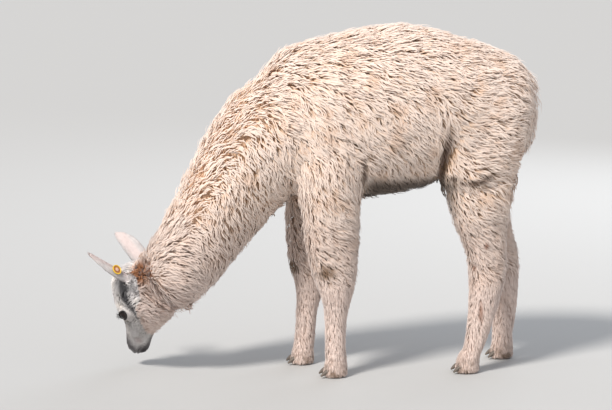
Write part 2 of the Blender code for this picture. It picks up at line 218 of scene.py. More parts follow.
CAMERA_TURN, CAMERA_DROP, CAMERA_DISTANCE = math.radians(82), 8.7, 7.5
camera = placed("camera", bpy.data.cameras.new("camera"))
camera.location = (CAMERA_DISTANCE * math.sin(CAMERA_TURN), -CAMERA_DISTANCE * math.cos(CAMERA_TURN) - 0.02, 1.65)
camera.rotation_euler = (math.radians(90 - CAMERA_DROP), 0, CAMERA_TURN)
camera.data.lens, camera.data.sensor_width = 150, 36
bpy.context.scene.camera = camera
bpy.context.scene.view_settings.view_transform = "Standard"
print("the camera stands at", tuple(round(v, 3) for v in camera.location))

# %% [markdown]
# ## The skin
# A real llama's wool hides a slim body. We make that body from the solids themselves: copies of
# them are joined, melted into one closed surface by a voxel remesh, and drawn in by the depth
# of the coat, which differs from place to place: over two centimetres on the back, one on the
# shins and only a few millimetres on the face. Drawing in by small steps, with a little
# smoothing after each, keeps the surface from folding where a leg meets the belly.

# %% Helpers for whole objects
def alone(*things):
    """Select these objects and nothing else. The first is the active one."""
    bpy.ops.object.select_all(action="DESELECT")
    for thing in things:
        thing.select_set(True)
    bpy.context.view_layer.objects.active = things[0]
    return things[0]


def joined(name, things):
    """Several objects made into one."""
    made = alone(*things)
    if len(things) > 1:
        bpy.ops.object.join()
    made.name = name
    return made


def edit(thing, operator, **settings):
    """Run one operator on the whole of a mesh, in edit mode."""
    alone(thing)
    bpy.ops.object.mode_set(mode="EDIT")
    bpy.ops.mesh.select_all(action="SELECT")
    operator(**settings)
    bpy.ops.object.mode_set(mode="OBJECT")


def joined_copy(name, nodes):
    """One object with the merged meshes of some CAD nodes."""
    made = joined(name, [placed(name, frame["nodes"][node].data.copy()) for node in nodes])
    edit(made, bpy.ops.mesh.remove_doubles, threshold=0.000002)
    made.data.materials.clear()
    return made


def with_modifier(thing, kind, **settings):
    """Add a modifier, set it and apply it."""
    alone(thing)
    added = thing.modifiers.new(kind.lower(), kind)
    for key, value in settings.items():
        setattr(added, key, value)
    bpy.ops.object.modifier_apply(modifier=added.name)
    return thing


def melted(thing, voxel):
    """Turn overlapping closed shapes into one closed surface of small squares."""
    return with_modifier(thing, "REMESH", mode="VOXEL", voxel_size=voxel, use_smooth_shade=True)


def read(items, label, kind=float, width=3):
    """One value of all a mesh's items, as rows of this many numbers."""
    found = np.empty(len(items) * width, dtype=kind)
    items.foreach_get(label, found)
    return found.reshape(-1, width)


def points_of(mesh):
    """A mesh's points, one to a row."""
    return read(mesh.vertices, "co")


def normals_of(mesh):
    """The outward direction at each point of a mesh."""
    return read(mesh.vertex_normals, "vector", np.float32).astype(float)


def edges_of(mesh):
    """Pairs of neighbouring points."""
    return read(mesh.edges, "vertices", np.int64, 2)


def set_points(mesh, points):
    """Move a mesh's points."""
    mesh.vertices.foreach_set("co", points.ravel())
    mesh.update()


def relaxed(points, edges, amount):
    """Draw each point towards the middle of its neighbours."""
    total = np.zeros_like(points)
    count = np.zeros(len(points))
    for near, far in ((0, 1), (1, 0)):
        np.add.at(total, edges[:, near], points[edges[:, far]])
        np.add.at(count, edges[:, near], 1)
    amount = np.broadcast_to(amount, len(points))[:, None]
    return points + amount * (total / np.maximum(count, 1)[:, None] - points)


# %% [markdown]
# ### How deep the coat is
# The depth follows from a point's place alone. Each region is a soft step or a bump, 1 inside
# and 0 outside, so neighbouring depths blend into each other and the skin gets no ledges.

# %% How deep the coat is
LOBE_TOP, LOBE_END = (0.040, 0.004, 0.016), (0.048, -0.036, -0.032)   # the smooth round root of an ear
HEAD_BEFORE, NECK_BEFORE = -0.3, -0.15         # the head and the neck have a lesser Y


def from_line(points, start, end):
    """How far points lie from a straight stretch."""
    start, end = np.array(start), np.array(end)
    share = np.clip((points - start) @ (end - start) / np.dot(end - start, end - start), 0, 1)
    return size_of(points - start - share[:, None] * (end - start))


def from_poll(points):
    """How far points lie from the poll."""
    return size_of(points - np.array(POLL))


def on_lobe(points):
    """1 on the round roots of the ears."""
    return bump(from_line(folded(in_frame(points, HEAD_FRAME)), LOBE_TOP, LOBE_END), 0.017)


def on_head(points):
    """1 on the head, 0 on the neck and soft between."""
    return smooth_step(-0.02, 0.015, beyond(points, CHEEK_POINT, CHEEK_SLOPE)) * (points[:, 1] < HEAD_BEFORE)


def on_face(points):
    """1 where the hair is short, 0 where the wool begins."""
    ahead = np.minimum(beyond(points, FACE_POINT, FACE_SLOPE), beyond(points, EARS_BEHIND, NOSEWARD))
    return smooth_step(-0.006, 0.008, ahead + 0.020 * on_lobe(points)) * (points[:, 1] < HEAD_BEFORE)


def on_leg(points):
    """1 on the legs, 0 on the trunk and the neck, soft between."""
    return smooth_step(0.62, 0.50, points[:, 2]) * smooth_step(-0.17, -0.12, points[:, 1])


def eye_distance(local):
    """How far points of the head's frame lie from the nearer eye's centre."""
    return size_of(folded(local) - np.array(EYE_PLACE))


def blended(one, other, share):
    """From one value to another, by a share."""
    return one * (1 - share) + other * share


def coat_depth(points):
    """From the skin to the outside of the coat."""
    local = in_frame(points, HEAD_FRAME)
    head = np.interp(local[:, 1], (-0.31, -0.22, -0.17, -0.12, -0.06, 0.02),
                     (0.0015, 0.0022, 0.004, 0.009, 0.016, 0.022))
    near_eye = smooth_step(0.040, 0.024, eye_distance(local))
    head = blended(head, 0.0015, near_eye) - 0.009 * on_lobe(points)
    neck = np.interp(from_poll(points), (0.05, 0.20, 0.40), (0.018, 0.022, 0.026))
    leg = np.interp(points[:, 2], (0, 0.05, 0.10, 0.26, 0.34, 0.48, 0.62),
                    (0.0035, 0.006, 0.008, 0.009, 0.016, 0.022, 0.026))
    body = np.where(points[:, 1] < NECK_BEFORE, neck, 0.026)
    return blended(blended(body, leg, on_leg(points)), head, on_head(points))


def drawn_in(thing, steps):
    """Draw a closed surface in by the coat's depth."""
    mesh = thing.data
    edges = edges_of(mesh)
    depth = coat_depth(points_of(mesh))
    for _ in range(steps):
        points = points_of(mesh) - normals_of(mesh) * (depth / steps)[:, None]
        set_points(mesh, relaxed(points, edges, 0.3 * smooth_step(0.004, 0.012, depth)))


FLESH = ["trunk", "neck", "tail"]
FLESH += [f"{leg}_{side}_{part}" for leg, upper in (("foreleg", "upper"), ("hindleg", "thigh"))
          for side in ("left", "right") for part in (upper, "cannon", "foot")]
skin = joined_copy("skin", FLESH)
with_modifier(skin, "DISPLACE", strength=0.0004, mid_level=0)
melted(skin, 0.008)
drawn_in(skin, 8)
melted(skin, 0.0095)
print("skin of the body:", len(skin.data.vertices), "points")

# %% [markdown]
# ## The head under its coat
# The head is looked at most, so it gets a mesh nearly four times finer. We melt together the solid
# head, a ball a little larger than each eye, which will become the lids, and a soft lobe under
# each ear, where the ear's funnel grows out of the cheek. Then the coat's depth is drawn off.

# %% Melt the head
def ball(name, centre, radii, turn=Matrix(), segments=32, rings=16):
    """A round or egg-shaped form, placed in the head's frame."""
    bpy.ops.mesh.primitive_uv_sphere_add(segments=segments, ring_count=rings, radius=1)
    made = bpy.context.object
    made.name = name
    made.data.transform(HEAD_FRAME @ Matrix.Translation(centre) @ turn @ Matrix.Diagonal((*radii, 1)))
    return made


LID = 0.0024             # a lid's thickness over the eye
forms = [joined_copy("head_skin", ["head"])]
for side in (1, -1):
    forms += [ball("lid", sided(EYE_PLACE, side), (EYE_RADIUS + LID + 0.0015,) * 3),
              ball("ear_root", sided((0.051, -0.012, -0.014), side), (0.024, 0.026, 0.046), tilt(-32, side * 8, 0)),
              ball("brow", sided((0.040, -0.120, 0.010), side), (0.020, 0.030, 0.018), tilt(30, 0, 0))]
head_skin = melted(joined("head_skin", forms), 0.0026)
set_points(head_skin.data, relaxed(points_of(head_skin.data), edges_of(head_skin.data), 0.5))
drawn_in(head_skin, 6)
print("skin of the head:", len(head_skin.data.vertices), "points")

# %% [markdown]
# ### Lids, nostrils and lips
# Each feature is a small push on the points round it, measured in the head's frame. The lids
# are the skin drawn on to a shell just outside the eyeball, with an almond left open. The
# nostrils are slanting slits with a raised rim, the mouth is a long thin furrow, and the upper
# lip is split in the middle, as every llama's is.

# %% Refine the face, then shape it
def select_some(thing, part, chosen):
    """Select only the chosen ones of a mesh's vertices or polygons, and go to edit mode."""
    alone(thing)
    bpy.ops.object.mode_set(mode="EDIT")
    bpy.ops.mesh.select_all(action="DESELECT")
    bpy.ops.object.mode_set(mode="OBJECT")
    getattr(thing.data, part).foreach_set("select", chosen)
    bpy.ops.object.mode_set(mode="EDIT")


def subdivided(thing, chosen, cuts):
    """Cut the faces whose points are all chosen into smaller ones."""
    select_some(thing, "vertices", chosen)
    bpy.ops.mesh.select_mode(type="VERT")
    bpy.ops.mesh.subdivide(number_cuts=cuts, smoothness=0.6)
    bpy.ops.object.mode_set(mode="OBJECT")


local = in_frame(points_of(head_skin.data), HEAD_FRAME)
subdivided(head_skin, (eye_distance(local) < 0.034) | (local[:, 1] < -0.262), 1)

EYE_AXIS = Vector((0.985, -0.10, 0.14)).normalized()       # where the left eye looks
EYE_LONG = Vector((0.30, 0.93, 0.22))                      # from its front corner to its rear one
EYE_LONG = (EYE_LONG - EYE_AXIS * EYE_AXIS.dot(EYE_LONG)).normalized()
EYE_UP = EYE_AXIS.cross(EYE_LONG)
EYE_HALF = 0.90                                            # half the opening's length, over the radius


def eye_opening(local):
    """Where points lie round the eye: along it, up it, out of it, and inside (<0) or outside the lids."""
    mirrored = folded(local) - np.array(EYE_PLACE)
    far = size_of(mirrored)
    ray = unit(mirrored)
    along, up, out = (ray @ np.array(axis) for axis in (EYE_LONG, EYE_UP, EYE_AXIS))
    arch = 1 - np.clip(np.abs(along) / EYE_HALF, 0, 1) ** 2
    gap = np.abs(up) - np.where(up > 0, 0.66, 0.58) * arch
    return mirrored, far, up, out, gap


def shape_face(local):
    """Push the points of the head's skin into lids, nostrils, lips and cheeks."""
    side = np.sign(local[:, 0])
    mirrored, far, up, out, gap = eye_opening(local)
    # lids: a shell round the ball that fades into the head
    lid = EYE_RADIUS + LID * np.where(up > 0, 1.15, 0.85)
    fold = 0.0016 * bump(gap - 0.30, 0.09) * (up > -0.2)
    rim = 0.0007 * bump(gap - 0.03, 0.05)
    inside = smooth_step(0.015, -0.045, gap) * (out > 0.2)
    wanted = blended(lid + rim - fold, EYE_RADIUS - 0.0055, inside)
    hold = smooth_step(0.35, 0.72, out) * (far < EYE_RADIUS + 0.014)
    hold = np.maximum(hold, inside)
    scale = 1 + hold * (wanted / np.maximum(far, 1e-6) - 1)
    moved = mirrored * scale[:, None] + np.array(EYE_PLACE)
    local = np.column_stack((moved[:, 0] * np.where(side == 0, 1, side), moved[:, 1:]))

    # a hollow before the eye, a soft ridge from the eye to the cheek and a hollow jaw
    flat = folded(local)
    pull = np.zeros_like(local)
    for amount, start, end, width in ((-0.0022, (0.043, -0.160, -0.040), (0.036, -0.185, -0.052), 0.0065),
                                      (0.0025, (0.052, -0.150, -0.062), (0.040, -0.205, -0.078), 0.012),
                                      (-0.0030, (0.036, -0.190, -0.100), (0.034, -0.225, -0.085), 0.012)):
        pull[:, 0] += side * amount * bump(from_line(flat, start, end), width)

    # nostrils
    slit = from_line(flat, (0.0075, -0.3005, -0.0725), (0.0215, -0.2830, -0.0600))
    wing = bump(slit - 0.0065, 0.0028)
    pull[:, 0] -= side * 0.0040 * bump(slit, 0.0028)
    pull[:, 0] += side * 0.0010 * wing
    pull[:, 1] += 0.0062 * bump(slit, 0.0030)
    pull[:, 1] -= 0.0016 * wing
    # the mouth, the split lip and a chin that is set back
    over_mouth = flat[:, 2] - (-0.0965 - 0.10 * (flat[:, 1] + 0.30) - 0.8 * np.clip(flat[:, 1] + 0.245, 0, 1))
    before_corner = smooth_step(-0.226, -0.240, flat[:, 1])
    in_front = smooth_step(-0.285, -0.300, flat[:, 1])
    furrow = bump(over_mouth, 0.0021) * before_corner
    upper_lip = bump(over_mouth - 0.0075, 0.0060) * before_corner
    chin = smooth_step(-0.003, -0.009, over_mouth) * smooth_step(-0.20, -0.26, flat[:, 1])
    split = bump(local[:, 0], 0.0019) * smooth_step(-0.284, -0.296, flat[:, 1])
    split = split * smooth_step(-0.0965, -0.090, flat[:, 2]) * smooth_step(-0.060, -0.069, flat[:, 2])
    pull[:, 0] -= side * 0.0032 * furrow
    pull[:, 0] += side * 0.0013 * upper_lip
    pull[:, 0] -= local[:, 0] * 0.10 * chin
    pull[:, 1] += 0.0030 * furrow * in_front
    pull[:, 1] -= 0.0016 * upper_lip * in_front
    pull[:, 1] += 0.0050 * chin * smooth_step(-0.27, -0.30, flat[:, 1])
    pull[:, 1] += 0.0035 * split
    return local + pull


local = in_frame(points_of(head_skin.data), HEAD_FRAME)
set_points(head_skin.data, out_of_frame(shape_face(local), HEAD_FRAME))
print("the finer head:", len(head_skin.data.vertices), "points")

# %% [markdown]
# ### The ears, and one skin for all
# The ears are copies of the solid ones, melted and smoothed. Then the body, the head and the
# ears are united, so that one skin runs from the nose to the tail with no seam. The toes get
# their cleft, and the skin sinks in the folds of the coat.

# %% Unite the skin
def united(thing, other):
    """Weld one closed surface to another and throw the other away."""
    with_modifier(thing, "BOOLEAN", operation="UNION", solver="MANIFOLD", object=other)
    bpy.data.objects.remove(other)


FOLD_START = Vector((0, 0.366, 0.640))             # a point of the fold before the thigh
FOLD_BACK = Vector((0, 1.0, -0.12)).normalized()   # square to the fold, to the rear
ELBOW = 0.140
STIFLE = ((0, 0.396, 0.594), (0, 0.446, 0.578), (0, 0.505, 0.604))   # under the thigh, seen from the side


def crease(points):
    """1 in the folds of the coat: before and under the thigh, behind the elbow and beside the tail."""
    wide, back, high = np.abs(points[:, 0]), points[:, 1], points[:, 2]
    thigh = bump(beyond(points, FOLD_START, FOLD_BACK), 0.012) * (
        smooth_step(0.52, 0.56, high) * smooth_step(0.82, 0.66, high))
    elbow = smooth_step(0.49, 0.52, high) * smooth_step(0.60, 0.54, high)
    elbow = 0.8 * bump(back - ELBOW, 0.011) * elbow
    seen = points * np.array((0, 1, 1))
    stifle = np.minimum(from_line(seen, *STIFLE[:2]), from_line(seen, *STIFLE[1:]))
    stifle = 0.44 * bump(stifle, 0.013) * smooth_step(0.10, 0.12, wide)
    tail = bump(wide - 0.048, 0.009) * smooth_step(0.585, 0.605, back)
    tail *= 0.75 * smooth_step(0.68, 0.73, high) * smooth_step(0.93, 0.85, high)
    return np.maximum(np.maximum(thigh, elbow) * (wide > 0.08), np.maximum(tail, stifle))


subdivided(skin, points_of(skin.data)[:, 2] < 0.048, 2)
toes = points_of(skin.data)
for leg in ("foreleg", "hindleg"):
    for side in (1, -1):
        foot = points_of(frame["nodes"][f"{leg}_{SIDE_NAME[side]}_foot"].data)
        middle = (foot.max(axis=0) + foot.min(axis=0))[0] / 2
        front, rear = foot[:, 1].min(), foot[:, 1].max()
        cleft = bump(toes[:, 0] - middle, 0.0055) * smooth_step(0.046, 0.020, toes[:, 2])
        cleft *= smooth_step(front + 0.045, front + 0.022, toes[:, 1])
        cleft *= (toes[:, 1] < rear + 0.01) * (toes[:, 1] > front - 0.02)
        toes[:, 1] += 0.011 * cleft
        toes[:, 2] -= 0.003 * cleft * (toes[:, 2] > 0.02)
set_points(skin.data, toes)
united(skin, head_skin)

# the weld of the head and the neck is smoothed
calmed = points_of(skin.data)
seam = beyond(calmed, CHEEK_POINT, CHEEK_SLOPE)
near_seam = smooth_step(0.050, 0.028, np.abs(seam + 0.004)) * (calmed[:, 1] < -0.40)
pairs = edges_of(skin.data)
pairs = pairs[(near_seam[pairs] > 0).any(axis=1)]
for _ in range(40):
    calmed = relaxed(calmed, pairs, 0.6 * near_seam)
set_points(skin.data, calmed)

sunk = points_of(skin.data)
sunk -= normals_of(skin.data) * (crease(sunk) * (0.012 + 0.014 * bump(sunk[:, 2] - 0.585, 0.035)))[:, None]
set_points(skin.data, sunk)
for side in (1, -1):
    ear = melted(joined_copy("ear", [f"ear_{SIDE_NAME[side]}"]), 0.0022)
    smoothed = points_of(ear.data)
    for _ in range(4):
        smoothed = relaxed(smoothed, edges_of(ear.data), 0.5)
    curled = in_frame(smoothed, ear_frame(side))
    curled[:, 1] += np.minimum(curled[:, 1] + 0.004, 0) * 0.55 * smooth_step(0.0, 0.03, curled[:, 2])
    set_points(ear.data, out_of_frame(curled, ear_frame(side)))
    united(skin, ear)
hide = alone(skin).data
hide.materials.clear()
bpy.ops.object.shade_smooth()
print("one skin:", len(hide.vertices), "points,", len(hide.loops) - 2 * len(hide.polygons), "triangles")

# %% [markdown]
# ## Eyes, nails and the tag
# These stay apart from the skin, because they are of other stuff. The eyeballs, the nails and
# the tag are solids already in the right shape, so we keep their places and refine their forms:
# a fine ball, nails with a smoother round, and a tag with soft edges.

# %% Eyeballs, nails and tag
def stands_for(node):
    """Hide the CAD node that a piece replaces."""
    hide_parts(node)


eyes, nails = [], []
for side in (1, -1):
    eyes.append(ball(f"eyeball_{SIDE_NAME[side]}", sided(EYE_PLACE, side), (EYE_RADIUS - 0.0002,) * 3,
                     segments=48, rings=32))
    bpy.ops.object.shade_smooth()
    stands_for(f"eye_{SIDE_NAME[side]}")

for node in [f"{leg}_{side}_nail_{toe}" for leg in ("foreleg", "hindleg")
             for side in ("left", "right") for toe in ("inner", "outer")]:
    nails.append(with_modifier(joined_copy(f"{node}_horn", [node]), "SUBSURF", levels=2, render_levels=2))
    bpy.ops.object.shade_smooth()
    stands_for(node)

TAG_FRAME = ear_frame(1) @ Matrix.Translation((0.0150, 0.0065, 0.058)) @ spin("Z", -35) @ spin("X", -90)
TAG_FACE = TAG_FRAME @ Vector((0, 0, 0.0065))
TAG_RADIUS, PIN_RADIUS, STUD_RADIUS = 0.0150, 0.0025, 0.0065
TAG_WALL, TAG_PLATE, TAG_RIM = 0.00445, 0.00585, 0.00705    # heights over the middle of the ear


def disc(name, radius, low, high):
    """A short round bar along the tag's own axis."""
    bpy.ops.mesh.primitive_cylinder_add(vertices=48, radius=radius, depth=high - low,
                                        location=(0, 0, (low + high) / 2), end_fill_type="NGON")
    bpy.context.object.name = name
    bpy.ops.object.transform_apply(location=True)
    return bpy.context.object


button = disc("button", TAG_RADIUS, TAG_WALL, TAG_RIM)
select_some(button, "polygons", [face.normal.z > 0.9 for face in button.data.polygons])
bpy.ops.mesh.select_mode(type="FACE")
for thickness, depth in ((0.0024, 0), (0.0006, TAG_RIM - TAG_PLATE), (0.0060, 0), (0.0012, TAG_PLATE - TAG_RIM)):
    bpy.ops.mesh.inset(thickness=thickness, depth=-depth)
bpy.ops.object.mode_set(mode="OBJECT")
tag = joined("button_tag", [button, disc("pin", PIN_RADIUS, -TAG_WALL, TAG_WALL + 0.0004),
                            disc("stud", STUD_RADIUS, -TAG_RIM, -TAG_WALL)])
tag.data.transform(TAG_FRAME)
with_modifier(tag, "BEVEL", width=0.0004, segments=2, limit_method="ANGLE")
bpy.ops.object.shade_smooth_by_angle(angle=math.radians(40))
stands_for("ear_tag")
print(len(eyes), "eyes,", len(nails), "nails and a tag")

# %% [markdown]
# ## Laying out the fleece
# Each lock needs a root on the skin, a direction to lie in, a length and a colour. Roots are
# dealt at random over the skin's triangles, by area. The skin is also unfolded flat, and each
# lock keeps the place of its root on that pattern, so that its colours can be kept with it.

# %% Unfold the skin and read its triangles
edit(skin, bpy.ops.uv.smart_project, angle_limit=math.radians(66), island_margin=0.002)
hide = skin.data
hide.uv_layers[0].name = "Hide"
hide.calc_loop_triangles()
TRIANGLES = read(hide.loop_triangles, "vertices", np.int64)
CORNERS = read(hide.loop_triangles, "loops", np.int64)
FLAT = read(hide.uv_layers[0].data, "uv", width=2)[CORNERS]
SKIN_POINTS, SKIN_NORMALS = points_of(hide), normals_of(hide)
for _ in range(3):
    SKIN_NORMALS = relaxed(SKIN_NORMALS, edges_of(hide), 0.5)
SKIN_NORMALS = unit(SKIN_NORMALS)
A, B, C = (SKIN_POINTS[TRIANGLES[:, k]] for k in range(3))
AREA = size_of(np.cross(B - A, C - A)) / 2
MIDDLE = (A + B + C) / 3
print("the skin measures", round(AREA.sum(), 3), "square metres")

# %% [markdown]
# ## Which way the wool lies
# The lie of the coat is a direction at every point, given by a few plain rules: on the trunk
# the wool hangs down and a little back; on the rump and thigh it sweeps backwards; on the neck
# it hangs at the sides and runs up along the crest; on the legs it falls to the rear; and on the
# face short hair runs from the nose up towards the ears. Each rule fades into the next.

# %% The lie, length and thickness of the coat
def ear_places(points):
    """For each point, on which ear it lies: 1 left, -1 right, 0 none."""
    which = np.zeros(len(points))
    for side in (1, -1):
        found = in_frame(points, ear_frame(side))
        which[(found[:, 2] > 0.014) & (np.abs(found[:, 0]) < 0.040) & (np.abs(found[:, 1]) < 0.024)] = side
    return which


def mixed(base, other, share):
    """From one direction to another, by a share at each point."""
    return blended(base, np.asarray(other, dtype=float), share[:, None])


CREST = Vector((0, -0.85, 0.52)).normalized()            # out of the neck's upper edge
UP_THE_NECK = Vector((0, 0.52, 0.85)).normalized()
EAR_HAIR = 0.011                                         # its length


def lie(points, normals):
    """The direction that the coat lies in, along the skin."""
    x, y, z = points.T
    everywhere = (len(points), 1)
    way = np.tile((0.0, 0.62, -0.80), everywhere)
    top = np.clip(normals[:, 2], 0, 1)
    way[:, 0] = 0.55 * (np.clip(x / 0.07, -1, 1) * top)       # off the backbone to both sides
    way[:, 1] += 1.4 * top                                    # and always to the rear along it
    way = mixed(way, (0.0, 0.32, -1.0), smooth_step(0.72, 0.60, z) * (y > -0.2))
    rump = smooth_step(0.36, 0.46, y) * smooth_step(0.52, 0.62, z)
    way = mixed(way, (0.0, 1.0, -0.28), rump)
    way = mixed(way, (0.0, 0.15, -1.0), smooth_step(0.57, 0.65, y) * rump)
    way = mixed(way, (0.0, 0.0, -1.0), bump(y - 0.345, 0.022) * smooth_step(0.86, 0.76, z))
    neck = mixed(np.tile((0.0, 0.30, -1.0), everywhere), (0.0, 0.85, -0.50), smooth_step(-0.30, -0.42, y))
    crest = np.clip(normals @ CREST, 0, 1)
    neck = mixed(neck, UP_THE_NECK, smooth_step(0.35, 0.80, crest))
    neck[:, 0] += 1.1 * np.clip(x / 0.05, -1, 1) * crest
    way = mixed(way, neck, smooth_step(0.02, -0.26, y))
    leg = on_leg(points)
    way = mixed(way, (0.0, 0.80, -0.62), leg * smooth_step(0.20, 0.34, z))
    way = mixed(way, (0.0, 0.25, -1.0), leg * smooth_step(0.34, 0.24, z))
    local = in_frame(points, HEAD_FRAME)
    face = np.tile((0.0, 0.9, 0.0), everywhere)
    face[:, 2] = -0.55 * smooth_step(0.02, -0.08, local[:, 2])
    face[:, 2] += 0.35 * smooth_step(-0.03, 0.03, local[:, 2])
    face[:, 0] = 0.35 * np.sign(local[:, 0]) * smooth_step(-0.16, -0.10, local[:, 1])
    forelock = smooth_step(-0.108, -0.090, local[:, 1]) * smooth_step(-0.005, 0.018, local[:, 2])
    face = mixed(face, (0.0, -1.0, -0.1), forelock * smooth_step(0.045, 0.030, np.abs(local[:, 0])))
    way = mixed(way, face @ np.array(HEAD_AXES).T, on_face(points))
    for side in (1, -1):
        way[ear_places(points) == side] = np.array(ear_frame(side).to_3x3() @ Vector((0, 0, 1)))
    return unit(flattened(way, normals))


def lock_length(points):
    """How long a lock is."""
    local = in_frame(points, HEAD_FRAME)
    body = np.where(points[:, 1] < NECK_BEFORE, 0.048, 0.060)
    body = np.where(on_head(points) > 0.5, 0.032, body)
    leg = np.interp(points[:, 2], (0, 0.05, 0.12, 0.26, 0.36, 0.50, 0.62),
                    (0.010, 0.017, 0.023, 0.026, 0.037, 0.048, 0.057))
    head = np.interp(local[:, 1], (-0.30, -0.20, -0.14, -0.11, -0.08, 0.03),
                     (0.0050, 0.008, 0.011, 0.016, 0.028, 0.032))
    head -= 0.018 * on_lobe(points)
    near_eye = smooth_step(0.038, 0.024, eye_distance(local))
    length = blended(blended(body, leg, on_leg(points)), blended(head, 0.0042, near_eye), on_face(points))
    return np.where(ear_places(points) != 0, EAR_HAIR, length)


def lock_width(length):
    """Short hair is finer than long wool."""
    return np.interp(length, (0.004, 0.010, 0.020, 0.035, 0.060), (0.0011, 0.0015, 0.0024, 0.0036, 0.0042))


# %% [markdown]
# ## Making the locks
# Fleece isn't an even pile: fibres cling together in wavy locks whose tips meet. So we deal out
# guides first, about a centimetre apart. Each strand takes the wave and the direction of its
# nearest guide, and leans its tip towards the guide's tip. A strand is a closed three-sided
# spike in a few bent lengths. All the strands of one place are joined into one mesh, which is
# built straight from its numbers, because there are far too many to make one by one.

# %% Deal roots and build strands
dice = np.random.default_rng(11)
coat_shape = melted(joined_copy("coat_shape", FLESH + ["head"]), 0.007)
COAT_SIDE = BVHTree.FromObject(coat_shape, bpy.context.evaluated_depsgraph_get())
bpy.data.objects.remove(coat_shape)


def beyond_coat(points):
    """How far points stand outside the coat's shape (or, less than 0, inside it), and its outward direction there."""
    distance, outward = np.zeros(len(points)), np.zeros((len(points), 3))
    for index, place in enumerate(points):
        near, normal, _, far = COAT_SIDE.find_nearest(place)
        outward[index] = normal
        distance[index] = far if (Vector(place) - near).dot(normal) > 0 else -far
    return distance, outward


def roots_on(chosen, count):
    """Random places on some of the skin's triangles: points, normals, and places on the pattern."""
    weight = AREA * chosen
    which = dice.choice(len(AREA), size=count, p=weight / weight.sum())
    one, two = np.sqrt(dice.random(count)), dice.random(count)
    share = np.column_stack((1 - one, one * (1 - two), one * two))
    corners = TRIANGLES[which]
    points, normals, flat = (np.einsum("nk,nkd->nd", share, values)
                             for values in (SKIN_POINTS[corners], SKIN_NORMALS[corners], FLAT[which]))
    return points, unit(normals), flat


def turned_about(ways, axes, angles):
    """Turn directions about axes square to them."""
    return ways * np.cos(angles)[:, None] + np.cross(axes, ways) * np.sin(angles)[:, None]


WHOLE_TURN = 6.283
OWN_SHARE, LOCK_SHARE = 0.42, 0.58       # of a strand's direction
LOCK_STRETCH = 0.90                      # how much less a distance counts along the lie than across it
EAR_COAT = 0.0012                        # the hair's depth on the ears
FLOOR_GAP = 0.0012                       # no strand goes lower


def lumps(points, size, seed):
    """Slow swells of about this size, between -1 and 1."""
    phases = np.random.default_rng(seed)
    total = np.zeros(len(points))
    for _ in range(6):
        direction = phases.normal(size=3)
        direction *= 2 * math.pi / size / np.linalg.norm(direction) * phases.uniform(0.7, 1.4)
        total += np.sin(points @ direction + phases.uniform(0, WHOLE_TURN))
    return total / 3.0


def by_row(values, shares):
    """Each row's value times the shares along its strand, ready to scale a direction."""
    return (values[:, None] * shares)[..., None]


def nearest_lock(points, way, guide_points):
    """The guide that each strand follows. A lock is long along the lie of the coat and narrow across it."""
    tree = kdtree.KDTree(len(guide_points))
    for index, place in enumerate(guide_points):
        tree.insert(place, index)
    tree.balance()
    near = np.array([[found[1] for found in tree.find_n(place, 6)] for place in points])
    apart = guide_points[near] - points[:, None]
    along_lie = np.einsum("nkd,nd->nk", apart, way)
    far = np.sqrt(np.maximum(np.einsum("nkd,nkd->nk", apart, apart) - LOCK_STRETCH * along_lie ** 2, 0))
    return near[np.arange(len(points)), np.argmin(far, axis=1)]


